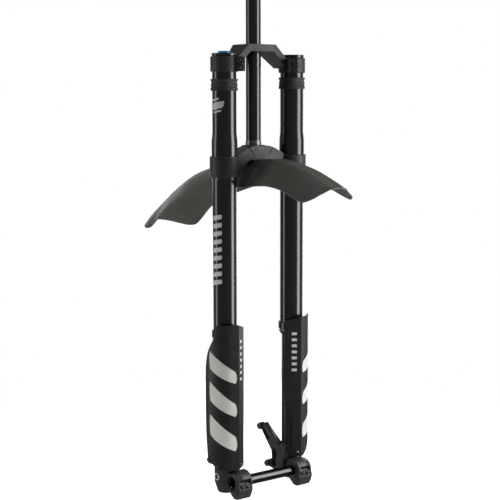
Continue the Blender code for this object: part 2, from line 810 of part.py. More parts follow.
BRAKE_WEB = [  # (y, z) round the bracket that carries the brake posts
    (0.0350, -0.5515),
    (0.0425, -0.5650),
    (0.0225, -0.5870),
    (0.0085, -0.6015),
    (0.0070, -0.6170),
    (0.0160, -0.6215),
    (0.0145, -0.6365),
    (-0.0060, -0.6390),
    (-0.0300, -0.6390),
    (-0.0300, -0.5870),
    (-0.0130, -0.5860),
    (0.0140, -0.5705),
]
BRAKE_POCKETS = {  # hollows in its inboard face
    "strut_pocket": [(0.0375, -0.5640), (0.0200, -0.5835), (0.0130, -0.5795), (0.0325, -0.5620)],
    "foot_pocket": [
        (0.0030, -0.5960),
        (0.0040, -0.6180),
        (0.0085, -0.6240),
        (0.0060, -0.6320),
        (-0.0060, -0.6330),
        (-0.0080, -0.6000),
    ],
}
BRAKE_POCKET_FLOOR_X = 0.0570


def brake_gusset():
    """The bracket's front flange, which widens from the upper post down to the foot."""
    form = bmesh.new()
    corners = [
        (0.0490, 0.0350, -0.5515),
        (0.0600, 0.0350, -0.5515),
        (0.0490, 0.0345, -0.5570),
        (0.0600, 0.0345, -0.5570),
        (0.0490, -0.0130, -0.5860),
        (0.0490, -0.0130, -0.5910),
        (0.0720, 0.0005, -0.5900),
        (0.0720, 0.0005, -0.5950),
    ]
    for corner in corners:
        form.verts.new(corner)
    bmesh.ops.convex_hull(form, input=form.verts)
    mesh = bpy.data.meshes.new("brake_gusset")
    form.to_mesh(mesh)
    form.free()
    return add("brake_gusset", mesh)


def add_brake_mount(foot):
    """Two posts for a brake caliper, on a windowed web that leans back from the foot."""
    line = Vector((0, math.sin(POST_TILT), math.cos(POST_TILT)))
    facing = Vector((0, math.cos(POST_TILT), -math.sin(POST_TILT)))
    for place, offset in (("upper", POST_SPACING / 2), ("lower", -POST_SPACING / 2)):
        face = POST_MIDDLE + line * offset
        join(foot, bar(f"brake_post_{place}", POST_R, face - facing * 0.0130, facing, 0.0130))
    plane = aim((0.0550, 0, 0), (1, 0, 0), (0, 1, 0))
    join(foot, extruded("brake_web", BRAKE_WEB, 0.0130, plane), brake_gusset())
    for name, outline in BRAKE_POCKETS.items():
        hollow = aim((BRAKE_POCKET_FLOOR_X - 0.02, 0, 0), (1, 0, 0), (0, 1, 0))
        cut(foot, extruded(f"brake_{name}", outline, 0.04, hollow))
    for place, offset in (("upper", POST_SPACING / 2), ("lower", -POST_SPACING / 2)):
        face = POST_MIDDLE + line * offset
        cut(foot, bar(f"brake_thread_{place}", 0.0026, face - facing * 0.0110, facing, 0.0150))


def make_foot_hardware(label, side):
    """The nut that fixes the rod in the dropout, and the rebound knob under the damper leg's."""
    top = FOOT_RECESS_TOP - GAP
    hole = ROD_R + GAP + (0.0010 if side == SIDES["left"] else 0)
    nut = bar(f"foot_nut_{label}", 0.0088, leg_axis(side, top - 0.0055), UP, 0.0055, STEEL, sides=6)
    cut(nut, bar(f"foot_nut_{label}_hole", hole, leg_axis(side, top - 0.01), UP, 0.02))


def make_rebound_knob():
    high = FOOT_RECESS_TOP - 0.0067
    low = DROPOUT_BOTTOM + 0.0005
    profile = [(0, high), (0.0080, high), (0.0088, high - 0.0020), (0.0080, low), (0, low)]
    place = Matrix.Translation(leg_axis(SIDES["right"]))
    knob = turned("rebound_knob", profile, BLUE, place)
    slot_centre = leg_axis(SIDES["right"], low)
    cut(knob, block("rebound_slot", (0.0110, 0.0020, 0.0030), slot_centre))


def make_axle():
    """A hollow 20 mm axle with a shallow head in the right dropout."""
    tip = BARREL_END_X - 0.0010
    end = BARREL_END_X - 0.0015
    profile = [
        (0.0092, tip),
        (AXLE_R, tip - 0.0008),
        (AXLE_R, -(BARREL_END_X - 0.0060 + GAP)),
        (0.0138, -(BARREL_END_X - 0.0060 + GAP)),
        (0.0138, -end + 0.0008),
        (0.0130, -end),
        (0.0085, -end),
        (0.0085, tip),
    ]
    turned("axle", profile, SATIN_BLACK, aim((0, AXLE_Y, AXLE_Z), (1, 0, 0)), ROUND_STEPS)


GUARD_OUTLINE = [  # (outboard, forward) of the leg's axis, from the inner edge round to the back
    (-0.0295, 0.0177),
    (-0.0045, 0.0374),
    (0.0140, 0.0310),
    (0.0260, 0.0200),
    (0.0325, 0.0060),
    (0.0345, -0.0060),
    (0.0330, -0.0170),
]


def guard_point(place):
    """A point on the guard's outline: 0 to 1 is the flat inner face, 1 to 6 the curved side."""
    if place <= 1:
        return Vector(GUARD_OUTLINE[0]).lerp(Vector(GUARD_OUTLINE[1]), place)
    curve = list(enumerate(GUARD_OUTLINE))[1:]
    return Vector(
        (
            smooth_between([(k, point[0]) for k, point in curve], place),
            smooth_between([(k, point[1]) for k, point in curve], place),
        )
    )


def make_guard(label, side):
    """A moulded half shell round the front and outer side of the stanchion."""
    inner_edge = {
        SIDES["left"]: [(-0.6035, 0.45), (-0.545, 0.45), (-0.520, 0.32), (-0.500, 0), (-0.329, 0)],
        SIDES["right"]: [(-0.6035, 0.04), (-0.545, 0.06), (-0.500, 0), (-0.329, 0)],
    }[side]
    back_edge = [
        (-0.6035, 5.3),
        (-0.570, 5.6),
        (-0.535, 6.0),
        (-0.415, 6.0),
        (-0.385, 5.3),
        (-0.355, 3.9),
        (-0.329, 3.4),
    ]
    flat_columns, side_columns, rows = 2, 8, 14
    columns = flat_columns + side_columns
    mesh = bpy.data.meshes.new(f"guard_{label}")
    form = bmesh.new()
    bmesh.ops.create_grid(form, x_segments=columns, y_segments=rows, size=0.5)
    for vert in form.verts:
        column = round((vert.co.x + 0.5) * columns)
        share = vert.co.y + 0.5
        z = GUARD_BOTTOM + share * (GUARD_TOP - GUARD_BOTTOM)
        start = smooth_between(inner_edge, z)
        end = smooth_between(back_edge, z)
        if column <= flat_columns:
            place = start + (1 - start) * column / flat_columns
        else:
            place = 1 + (end - 1) * (column - flat_columns) / side_columns
        outboard, forward = guard_point(place)
        dip = 0.0090 * max(0, 1 - place) * share**8
        if side == SIDES["left"]:
            rise = 0.0280 * max(0, 1 - abs(place - 2.9) / 1.5)
        else:
            rise = 0.0090 * min(max(0, place - 3.2), 1)
        height = z - dip + rise * (1 - share) ** 8
        vert.co = leg_axis(side, height) + Vector((side * outboard, -forward, 0))
    bmesh.ops.recalc_face_normals(form, faces=form.faces)
    form.faces.ensure_lookup_table()
    sample = form.faces[0]
    away = sample.calc_center_median() - leg_axis(side, sample.calc_center_median().z)
    if sample.normal.dot(away) < 0:
        bmesh.ops.reverse_faces(form, faces=form.faces)
    form.to_mesh(mesh)
    form.free()
    guard = add(f"guard_{label}", mesh, PLASTIC)
    wall = guard.modifiers.new("Wall", "SOLIDIFY")
    wall.thickness = GUARD_WALL
    wall.offset = -1
    for spot, (at, inward) in guard_screw_places(side).items():
        radius, start = GUARD_SCREW_R + GAP, at - inward * 0.01
        cut(guard, bar(f"guard_{label}_{spot}_hole", radius, start, inward, 0.02, sides=BOLT_STEPS))


# ---- Mudguard ----------------------------------------------------------------------------------

FENDER_SPINE = [  # (y, z) along the middle of the top, from the front edge to the back one
    (-0.2470, -0.0675),
    (-0.2030, -0.0512),
    (-0.1690, -0.0400),
    (-0.1180, -0.0292),
    (-0.0800, -0.0243),
    (-0.0500, -0.0245),
    (-0.0320, -0.0284),
    (0.0200, -0.0288),
    (0.1000, -0.0425),
    (0.1800, -0.0640),
    (0.2500, -0.0975),
    (0.3200, -0.1405),
    (0.3570, -0.1650),
]
FENDER_HALF_WIDTH = [
    (-0.2470, 0.0120),
    (-0.2450, 0.0180),
    (-0.2396, 0.0300),
    (-0.2340, 0.0420),
    (-0.2270, 0.0510),
    (-0.2160, 0.0562),
    (-0.1900, 0.0570),
    (-0.1200, 0.0540),
    (-0.0450, 0.0465),
    (0.0200, 0.0465),
    (0.1200, 0.0540),
    (0.2000, 0.0570),
    (0.2800, 0.0580),
    (0.3040, 0.0555),
    (0.3250, 0.0450),
    (0.3400, 0.0300),
    (0.3500, 0.0165),
    (0.3570, 0.0045),
]
FENDER_SKIRT = [  # how far the edge hangs below the middle
    (-0.2470, 0.0006),
    (-0.2450, 0.0020),
    (-0.2396, 0.0112),
    (-0.2340, 0.0205),
    (-0.2270, 0.0280),
    (-0.2160, 0.0350),
    (-0.1900, 0.0380),
    (-0.1550, 0.0373),
    (-0.1170, 0.0405),
    (-0.0600, 0.0485),
    (0.0200, 0.0465),
    (0.1230, 0.0490),
    (0.2240, 0.0490),
    (0.2770, 0.0580),
    (0.3040, 0.0470),
    (0.3250, 0.0310),
    (0.3400, 0.0165),
    (0.3500, 0.0070),
    (0.3570, 0.0008),
]
FENDER_SECTIONS = [  # where along its length the mudguard's cross-section is drawn
    *(-0.2470, -0.2450, -0.2396, -0.2340, -0.2270, -0.2160, -0.2030, -0.1800, -0.1550, -0.1300),
    *(-0.1050, -0.0800, -0.0650, -0.0500, -0.0320, 0.0000, 0.0300, 0.0700, 0.1100, 0.1500),
    *(0.1900, 0.2300, 0.2600, 0.2800, 0.3040, 0.3250, 0.3400, 0.3500, 0.3570),
]


def fender_screw_places():
    return {
        "front_right": (-0.0095, -0.0165),
        "front_left": (0.0095, -0.0165),
        "rear_right": (-0.0095, 0.0165),
        "rear_left": (0.0095, 0.0165),
    }


def fender_height(x, y):
    """The mudguard's upper surface: level along the middle, then sloping down to the edge."""
    width = smooth_between(FENDER_HALF_WIDTH, y)
    flat = min(FENDER_FLAT, width * 0.4)
    beyond = max(0.0, (abs(x) - flat) / (width - flat))
    return smooth_between(FENDER_SPINE, y) - smooth_between(FENDER_SKIRT, y) * beyond**1.25


def make_fender():
    columns, rows = 12, len(FENDER_SECTIONS) - 1
    mesh = bpy.data.meshes.new("fender")
    form = bmesh.new()
    bmesh.ops.create_grid(form, x_segments=columns, y_segments=rows, size=0.5)
    for vert in form.verts:
        y = FENDER_SECTIONS[round((vert.co.y + 0.5) * rows)]
        x = 2 * vert.co.x * smooth_between(FENDER_HALF_WIDTH, y)
        vert.co = (x, y, fender_height(x, y))
    form.to_mesh(mesh)
    form.free()
    fender = add("fender", mesh, PLASTIC)
    wall = fender.modifiers.new("Wall", "SOLIDIFY")
    wall.thickness = FENDER_WALL
    wall.offset = -1
    for place, (x, y) in fender_screw_places().items():
        start = (x, y, -0.045)
        cut(fender, bar(f"fender_hole_{place}", SCREW_R + GAP, start, UP, 0.03, sides=BOLT_STEPS))
        seat = Vector((x, y, fender_height(x, y) - FENDER_WALL - 0.0018))
        screw_piece(f"fender_screw_{place}", seat, UP, 0.0120)


# ---- The whole fork ----------------------------------------------------------------------------


def group_bodies():
    """Parents each moving piece to an empty on its joint's axis."""
    right = SIDES["right"]
    on_stanchions = ("stanchion", "dropout", "guard", "foot_nut", "axle_pinch_bolt")
    on_rods = ("damper_rod", "damper_piston", "air_rod", "air_piston")
    bodies = {
        "travel_axis": (Vector((0, LEG_Y, 0)), on_stanchions + on_rods),
        "compression_axis": (leg_axis(right, CAP_TOP), ("compression_knob",)),
        "rebound_axis": (leg_axis(right, DROPOUT_BOTTOM), ("rebound_knob",)),
        "axle_axis": (Vector((0, AXLE_Y, AXLE_Z)), ("axle",)),
    }
    for name, (at, starts) in bodies.items():
        empty = bpy.data.objects.new(name, None)
        fork.objects.link(empty)
        empty.location = at
        bpy.context.view_layer.update()
        for obj in fork.objects:
            if obj.type == "MESH" and not obj.parent and obj.name.startswith(starts):
                obj.parent = empty
                obj.matrix_parent_inverse = empty.matrix_world.inverted()
    travel = bpy.data.objects["travel_axis"]
    for name in ("rebound_axis", "axle_axis"):
        rider = bpy.data.objects[name]
        rider.parent = travel
        rider.matrix_parent_inverse = travel.matrix_world.inverted()


def main():
    make_steerer()
    make_lower_crown()
    make_upper_crown()
    make_caps()
    make_compression_knob()
    make_damper()
    make_air_spring()
    make_axle()
    make_rebound_knob()
    make_fender()
    for label, side in SIDES.items():
        make_outer_tube(label, side)
        make_bumper(label, side)
        make_seals(label, side)
        make_bushings(label, side)
        make_stanchion(label, side)
        make_dropout(label, side)
        make_guard(label, side)
        make_foot_hardware(label, side)
    bpy.context.view_layer.update()
    for obj in list(fork.objects):
        bake(obj)
    group_bodies()
    bpy.context.view_layer.update()


main()
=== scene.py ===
"""Looks of an inverted dual-crown suspension fork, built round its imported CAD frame.

Row frame, in metres: origin on the steering axis at the crown-race seat, +Z up the steerer, +X to
the bicycle's left (the brake side), -Y forward.
"""

import json
import math

import bmesh
import bpy
from mathutils import Matrix, Vector


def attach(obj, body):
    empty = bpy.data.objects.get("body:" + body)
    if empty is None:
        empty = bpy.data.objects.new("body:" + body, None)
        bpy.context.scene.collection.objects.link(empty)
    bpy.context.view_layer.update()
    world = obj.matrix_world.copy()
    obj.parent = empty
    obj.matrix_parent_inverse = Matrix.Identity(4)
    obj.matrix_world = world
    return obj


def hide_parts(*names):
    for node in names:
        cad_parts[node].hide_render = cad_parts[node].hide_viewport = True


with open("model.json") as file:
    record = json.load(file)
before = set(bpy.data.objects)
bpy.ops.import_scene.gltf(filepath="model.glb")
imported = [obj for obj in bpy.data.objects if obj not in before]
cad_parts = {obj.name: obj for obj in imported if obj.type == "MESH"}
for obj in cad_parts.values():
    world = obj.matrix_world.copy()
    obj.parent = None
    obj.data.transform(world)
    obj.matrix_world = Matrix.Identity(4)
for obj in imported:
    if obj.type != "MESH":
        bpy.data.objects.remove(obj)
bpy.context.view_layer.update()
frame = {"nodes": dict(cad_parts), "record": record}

RECORD = frame["record"]
BODY_OF = {node: body for body, nodes in RECORD["behaviour"]["bodies"].items() for node in nodes}
SLOT_OF = {part["node"]: part["material_slot"] for part in RECORD["subparts"]}
SIDES = {"right": -1, "left": 1}
UP = Vector((0, 0, 1))
GAP = 0.0003
SLIVER = 0.000002  # edges shorter than this are closed up after a cut
LEG_X, LEG_Y = 0.07835, -0.0166
FINE, MEDIUM = 96, 64  # steps round large and smaller turned shapes


# ---- Materials ---------------------------------------------------------------------------------

UNWORN_UNLIT, WORN_AND_LIT = 0.52, 0.62  # the pointiness at which an edge starts to take the lighter edge colour (partly real wear, partly a painted highlight), and takes it fully
WEAR_AND_HIGHLIGHT_SHARE = 0.55  # how much of the lighter edge colour, partly wear and partly a painted highlight, a sharp edge shows
NOISE_SPAN = (0.3, 0.7)  # where nearly all of a noise texture's values lie
RINGS = (1, 1, 60)  # a stretch that turns noise into fine rings round a vertical axis


def surface(
    name, colour, second, roughness, grain, mottle, metallic=0.0, stretch=(1, 1, 1), edge_wear_and_highlight=None, specular=0.5
):
    """A Principled material whose colour, roughness and bump come from noise in the row frame.

    colour and second are mixed by a slow mottle, roughness is its (low, high) pair, grain is the
    fine bump's (scale, height), and the third colour is the lighter one that convex edges take:
    partly real wear, partly a painted highlight along the edges.
    """
    material = bpy.data.materials.new(name)
    material.use_nodes = True
    nodes, links = material.node_tree.nodes, material.node_tree.links
    shader = nodes["Principled BSDF"]
    shader.inputs["Metallic"].default_value = metallic
    shader.inputs["Specular IOR Level"].default_value = specular

    def add(kind, values):
        node = nodes.new("ShaderNode" + kind)
        for name, value in values.items():
            node.inputs[name].default_value = value
        return node

    def mix_with(colour, share):
        node = nodes.new("ShaderNodeMix")
        node.data_type = "RGBA"
        node.inputs["B"].default_value = (*colour, 1)
        links.new(share, node.inputs["Factor"])
        return node

    place = add("TexCoord", {})
    scaled = add("Mapping", {"Scale": stretch})
    links.new(place.outputs["Object"], scaled.inputs["Vector"])

    slow = add("TexNoise", {"Scale": mottle, "Detail": 5})
    fine = add("TexNoise", {"Scale": grain[0], "Detail": 2})
    for noise in (slow, fine):
        links.new(scaled.outputs["Vector"], noise.inputs["Vector"])

    blend = mix_with(second, slow.outputs["Fac"])
    blend.inputs["A"].default_value = (*colour, 1)
    painted = blend.outputs["Result"]
    # Sharp convex edges, found by pointiness, are lightened towards the edge colour: partly real wear,
    # partly a painted highlight.
    if edge_wear_and_highlight:
        edges = add("NewGeometry", {})
        edge_share = add("MapRange", {"From Min": UNWORN_UNLIT, "From Max": WORN_AND_LIT, "To Max": WEAR_AND_HIGHLIGHT_SHARE})
        links.new(edges.outputs["Pointiness"], edge_share.inputs["Value"])
        worn_and_lit = mix_with(edge_wear_and_highlight, edge_share.outputs["Result"])
        links.new(painted, worn_and_lit.inputs["A"])
        painted = worn_and_lit.outputs["Result"]
    links.new(painted, shader.inputs["Base Color"])

    ends = ("From Min", "From Max", "To Min", "To Max")
    dulled = add("MapRange", dict(zip(ends, NOISE_SPAN + roughness)))
    links.new(slow.outputs["Fac"], dulled.inputs["Value"])
    links.new(dulled.outputs["Result"], shader.inputs["Roughness"])

    bump = add("Bump", {"Strength": 1.0, "Distance": grain[1]})
    links.new(fine.outputs["Fac"], bump.inputs["Height"])
    links.new(bump.outputs["Normal"], shader.inputs["Normal"])
    return material


# Materials given an edge colour lighten their convex edges: partly real wear, partly a painted edge
# highlight.
MATERIALS = {
    "satin_black": surface(
        "satin_black_paint", (0.007, 0.007, 0.0073), (0.0092, 0.0088, 0.0088), (0.165, 0.2),
        grain=(1500, 0.0000004), mottle=25, specular=0.55,
    ),
    "crown": surface(
        "crown_grey", (0.016, 0.016, 0.018), (0.024, 0.024, 0.026), (0.42, 0.54),
        grain=(2200, 0.00002), mottle=90, edge_wear_and_highlight=(0.1, 0.1, 0.104), specular=0.3,
    ),
    "casting": surface(
        "dropout_casting", (0.02, 0.019, 0.0178), (0.032, 0.0302, 0.028), (0.36, 0.5),
        metallic=0.1, grain=(1300, 0.00004), mottle=110, edge_wear_and_highlight=(0.1, 0.094, 0.086),
    ),
    "hard_coat": surface(
        "stanchion_hard_coat", (0.03, 0.026, 0.023), (0.04, 0.034, 0.03), (0.18, 0.26),
        metallic=0.5, grain=(900, 0.000002), mottle=30, stretch=RINGS,
    ),
    "plastic": surface(
        "guard_plastic", (0.0085, 0.008, 0.0076), (0.0125, 0.0115, 0.0105), (0.4, 0.5),
        grain=(2600, 0.00003), mottle=45, edge_wear_and_highlight=(0.05, 0.045, 0.042), specular=0.45,
    ),
    "rubber": surface(
        "bumper_rubber", (0.018, 0.018, 0.019), (0.03, 0.029, 0.029), (0.6, 0.78),
        grain=(1800, 0.00006), mottle=150, specular=0.4,
    ),
    # Its light edge colour paints bright highlight rings round the screw heads' rims, on top of some real
    # wear.
    "bolt_steel": surface(
        "black_oxide_steel", (0.085, 0.085, 0.085), (0.15, 0.147, 0.143), (0.26, 0.4),
        metallic=0.9, grain=(1600, 0.00002), mottle=300, edge_wear_and_highlight=(0.36, 0.36, 0.36),
    ),
    "bright_steel": surface(
        "ground_steel", (0.52, 0.52, 0.53), (0.62, 0.62, 0.62), (0.16, 0.24),
        metallic=1.0, grain=(700, 0.000004), mottle=60, stretch=RINGS,
    ),
    "plain_alloy": surface(
        "machined_alloy", (0.42, 0.42, 0.43), (0.54, 0.54, 0.54), (0.28, 0.42),
        metallic=1.0, grain=(500, 0.00002), mottle=80, stretch=RINGS,
    ),
    "bushing": surface(
        "bushing_bronze", (0.22, 0.16, 0.1), (0.3, 0.23, 0.14), (0.38, 0.52),
        metallic=0.8, grain=(1400, 0.00002), mottle=160,
    ),
    "blue_anodised": surface(
        "blue_anodised", (0.01, 0.25, 0.52), (0.014, 0.31, 0.6), (0.24, 0.34),
        metallic=0.75, grain=(900, 0.00001), mottle=120, stretch=RINGS,
    ),
}
INK = surface(
    "printed_grey", (0.42, 0.425, 0.4), (0.5, 0.5, 0.475), (0.5, 0.62),
    grain=(1800, 0.00001), mottle=35, specular=0.3,
)
AXLE_METAL = surface(
    "anodised_axle", (0.046, 0.045, 0.044), (0.062, 0.06, 0.058), (0.13, 0.2),
    metallic=1.0, grain=(900, 0.000002), mottle=40, stretch=(60, 1, 1),
)
# Its lighter edge colour is partly wear and partly a painted highlight along the edges of the flanks.
FENDER_PLASTIC = surface(
    "mudguard_plastic", (0.055, 0.051, 0.046), (0.078, 0.071, 0.063), (0.42, 0.54),
    grain=(2400, 0.000012), mottle=22, edge_wear_and_highlight=(0.085, 0.08, 0.074), specular=0.35,
)

RING_METAL = surface(
    "seal_ring_metal", (0.34, 0.34, 0.34), (0.42, 0.42, 0.41), (0.45, 0.6),
    metallic=0.3, grain=(700, 0.00001), mottle=80, stretch=RINGS,
)
SEAT_METAL = surface(
    "race_seat_metal", (0.11, 0.11, 0.11), (0.16, 0.16, 0.155), (0.3, 0.4),
    metallic=0.9, grain=(700, 0.00001), mottle=80, stretch=RINGS,
)


# ---- Mesh helpers ------------------------------------------------------------------------------


def place_piece(obj, material, body, slot, *nodes):
    """Gives a piece its material if one is named and its body, and hides the CAD nodes it stands for. slot
    is not used.
    """
    if material:
        obj.data.materials.clear()
        obj.data.materials.append(material)
    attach(obj, body)
    if nodes:
        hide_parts(*nodes)
    return obj


def stand_for(node, obj, material=None):
    """obj is the fine shape of a CAD node, in its own finish, one given here or its slot's."""
    obj.name = obj.data.name = node + "_detail"
    if not material and not any(obj.data.materials):
        material = MATERIALS[SLOT_OF[node]]
    return place_piece(obj, material, BODY_OF[node], SLOT_OF[node], node)


def linked(obj):
    bpy.context.scene.collection.objects.link(obj)
    return obj


def in_two_finishes(obj, most, some, where):
    """Its faces have one material, or another where where(centre) is true."""
    obj.data.materials.append(most)
    obj.data.materials.append(some)
    for face in obj.data.polygons:
        face.material_index = int(where(face.center))
    return obj


def new_object(name, verts, faces):
    mesh = bpy.data.meshes.new(name)
    mesh.from_pydata([tuple(v) for v in verts], [], faces)
    return linked(bpy.data.objects.new(name, mesh))


def shaded(obj, crease=32):
    obj.data.shade_smooth()
    obj.data.set_sharp_from_angle(angle=math.radians(crease))
    return obj


def from_form(name, form, matrix=None):
    mesh = bpy.data.meshes.new(name)
    form.to_mesh(mesh)
    form.free()
    if matrix:
        mesh.transform(matrix)
    return linked(bpy.data.objects.new(name, mesh))


def aim(at, z_axis, x_axis=None):
    """A matrix at a point, with its +Z along z_axis and its +X as near x_axis as it can be."""
    z = Vector(z_axis).normalized()
    x = Vector(x_axis) if x_axis else z.orthogonal()
    x = (x - x.dot(z) * z).normalized()
    matrix = Matrix((x, z.cross(x), z)).transposed().to_4x4()
    matrix.translation = Vector(at)
    return matrix


def leg(side, z=0.0):
    return Vector((side * LEG_X, LEG_Y, z))


def on_leg(side, z=0.0):
    return Matrix.Translation(leg(side, z))


def rounded(profile, steps=4):
    """The profile's points, each corner with a third number turned into an arc of that radius."""
    points = []
    last = len(profile) - 1
    for i, entry in enumerate(profile):
        here = Vector(entry[:2])
        radius = entry[2] if len(entry) > 2 else 0.0
        if not radius or i in (0, last):
            points.append(here)
            continue
        to_before = (Vector(profile[i - 1][:2]) - here).normalized()
        to_after = (Vector(profile[i + 1][:2]) - here).normalized()
        half = to_before.angle(to_after) / 2
        if half > math.radians(88):
            points.append(here)
            continue
        middle = here + (to_before + to_after).normalized() * radius / math.sin(half)
        start = here + to_before * radius / math.tan(half) - middle
        end = here + to_after * radius / math.tan(half) - middle
        turn = start.angle_signed(end)
        for k in range(steps + 1):
            angle = -turn * k / steps
            cos, sin = math.cos(angle), math.sin(angle)
            points.append(middle + Vector((start.x * cos - start.y * sin, start.x * sin + start.y * cos)))
    return points


def lathe(name, profile, matrix=None, steps=MEDIUM, radius_at=None, closed=True):
    """A turned closed shape. The (radius, height[, arc]) profile runs down the outside; a ring's
    runs back up the inside. radius_at(radius, height, angle) can vary it round the axis."""
    points = rounded(profile)
    verts, rings = [], []
    for radius, height in points:
        if radius < 1e-7:
            rings.append([len(verts)])
            verts.append(Vector((0, 0, height)))
            continue
        ring = []
        for k in range(steps):
            angle = 2 * math.pi * k / steps
            r = radius_at(radius, height, angle) if radius_at else radius
            ring.append(len(verts))
            verts.append(Vector((r * math.cos(angle), r * math.sin(angle), height)))
        rings.append(ring)
    pairs = list(zip(rings, rings[1:]))
    if closed and len(rings[0]) > 1:
        pairs.append((rings[-1], rings[0]))
    faces = []
    for upper, lower in pairs:
        for k in range(steps):
            n = (k + 1) % steps
            if len(upper) == 1 and len(lower) == 1:
                break
            if len(upper) == 1:
                faces.append((upper[0], lower[k], lower[n]))
            elif len(lower) == 1:
                faces.append((upper[k], lower[0], upper[n]))
            else:
                faces.append((upper[k], lower[k], lower[n], upper[n]))
    obj = new_object(name, verts, faces)
    if matrix:
        obj.data.transform(matrix)
    return shaded(obj)


def cone(name, radius, end_radius, start, along, length, sides=48):
    form = bmesh.new()
    bmesh.ops.create_cone(
        form, cap_ends=True, segments=sides, radius1=radius, radius2=end_radius, depth=length
    )
    bmesh.ops.translate(form, verts=form.verts, vec=(0, 0, length / 2))
    return from_form(name, form, aim(start, along))


def bar(name, radius, start, along, length, sides=40):
    return cone(name, radius, radius, start, along, length, sides)


def block(name, size, centre, z_axis=(0, 0, 1), x_axis=(1, 0, 0)):
    form = bmesh.new()
    bmesh.ops.create_cube(form, size=1)
    bmesh.ops.scale(form, verts=form.verts, vec=size)
    return from_form(name, form, aim(centre, z_axis, x_axis))


def extruded(name, outline, thickness, matrix):
    """A flat outline given thickness, half to each side of the plane it is drawn on."""
    form = bmesh.new()
    lower = [form.verts.new((x, y, -thickness / 2)) for x, y in outline]
    upper = [form.verts.new((x, y, thickness / 2)) for x, y in outline]
    form.faces.new(lower)
    form.faces.new(upper)
    for i in range(len(outline)):
        n = (i + 1) % len(outline)
        form.faces.new((lower[i], lower[n], upper[n], upper[i]))
    bmesh.ops.triangulate(form, faces=[f for f in form.faces if len(f.verts) > 4])
    bmesh.ops.recalc_face_normals(form, faces=form.faces)
    return from_form(name, form, matrix)


def settle(obj):
    """Makes the modifiers' result the object's own mesh."""
    graph = bpy.context.evaluated_depsgraph_get()
    mesh = bpy.data.meshes.new_from_object(obj.evaluated_get(graph))
    old = obj.data
    obj.modifiers.clear()
    obj.data = mesh
    bpy.data.meshes.remove(old)
    return obj


def walled(obj, thickness):
    """A sheet given thickness behind its face."""
    wall = obj.modifiers.new("Wall", "SOLIDIFY")
    wall.thickness, wall.offset = thickness, -1
    return settle(obj)


def softened(obj, width, segments, angle=30):
    """The edges that turn by more than an angle are rounded."""
    edge = obj.modifiers.new("Edge", "BEVEL")
    edge.width, edge.segments, edge.limit_method = width, segments, "ANGLE"
    edge.angle_limit = math.radians(angle)
    return settle(obj)


def grid_faces(columns, rows, flip=False, first=0):
    """The faces of a grid whose vertices are numbered along its rows."""
    faces = []
    for j in range(rows):
        for i in range(columns):
            k = first + j * (columns + 1) + i
            quad = (k, k + 1, k + columns + 2, k + columns + 1)
            faces.append(quad[::-1] if flip else quad)
    return faces


def discard(*objs):
    for obj in objs:
        mesh = obj.data
        bpy.data.objects.remove(obj)
        if mesh.users == 0:
            bpy.data.meshes.remove(mesh)


def boolean(target, others, operation="DIFFERENCE"):
    for other in others:
        step = target.modifiers.new(other.name, "BOOLEAN")
        step.operation = operation
        step.object = other
        step.solver = "MANIFOLD"
    settle(target)
    discard(*others)
    form = bmesh.new()
    form.from_mesh(target.data)
    bmesh.ops.dissolve_degenerate(form, dist=SLIVER, edges=form.edges)
    form.to_mesh(target.data)
    form.free()
    return target


def forged(name, solids, voxel=0.0009, passes=5, factor=0.5):
    """Solids grown together and softened, as a forging or casting is at its corners."""
    form = bmesh.new()
    for solid in solids:
        form.from_mesh(solid.data)
    discard(*solids)
    obj = from_form(name, form)
    remesh = obj.modifiers.new("Grow", "REMESH")
    remesh.mode = "VOXEL"
    remesh.voxel_size = voxel
    smooth = obj.modifiers.new("Soften", "SMOOTH")
    smooth.iterations = passes
    smooth.factor = factor
    return settle(obj)


def smooth_between(points, at):
    """The value at a place on a smooth curve through (place, value) points in rising order."""
    last = len(points) - 1
    i = min(sum(place <= at for place, _ in points[1:-1]), last - 1)
    (x0, y0), (x1, y1) = points[i], points[i + 1]

    def slope(k):
        before, after = points[max(k - 1, 0)], points[min(k + 1, last)]
        return (after[1] - before[1]) / (after[0] - before[0])

    t = (at - x0) / (x1 - x0)
    rise = (x1 - x0) * ((t**3 - 2 * t**2 + t) * slope(i) + (t**3 - t**2) * slope(i + 1))
    return (2 * t**3 - 3 * t**2 + 1) * y0 + (3 * t**2 - 2 * t**3) * y1 + rise


def socket_screw(node, seat, along, length, radius=0.0025, head=0.00425):
    """A socket-head screw with a rounded, finely knurled head and a hexagonal socket."""
    height = 2 * radius

    def knurl(r, z, angle):
        return r * (1 + 0.018 * math.cos(24 * angle)) if r > head * 0.96 and z > 0.0002 else r

    profile = [
        (0, height), (radius * 1.02, height), (head * 0.9, height), (head, height - 0.0004, 0.0003),
        (head, 0.0002, 0.0001), (head * 0.97, 0), (radius, 0), (radius, -length + 0.0005),
        (radius - 0.0005, -length), (0, -length),
    ]
    screw = lathe(node, profile, aim(seat, -Vector(along)), 72, knurl)
    out = -Vector(along).normalized()
    well = Vector(seat) + out * height * 0.42
    mouth = Vector(seat) + out * (height - 0.0007)
    hexagon = bar(node + "_socket", radius * 0.98, well, out, height, 6)
    lead = cone(node + "_lead", radius * 0.85, radius * 1.16, mouth, out, 0.0008, 24)
    boolean(screw, [hexagon, lead])
    shaded(screw, 28)
    return stand_for(node, screw)


# ---- Steerer, tubes and what is on them --------------------------------------------------------

STEERER_R, STEERER_BORE_R, STEERER_TOP = 0.0143, 0.012, 0.3
LOWER_BOSS_BOTTOM = -0.0275
TUBE_R, TUBE_CLAMPED_R, TUBE_BORE_R = 0.0223, 0.024, 0.0204
TUBE_TOP, TUBE_BOTTOM = 0.164, -0.35
CAP_TOP = 0.1687
LOWER_CLAMP_BOTTOM, LOWER_CLAMP_TOP = -0.0564, -0.0185


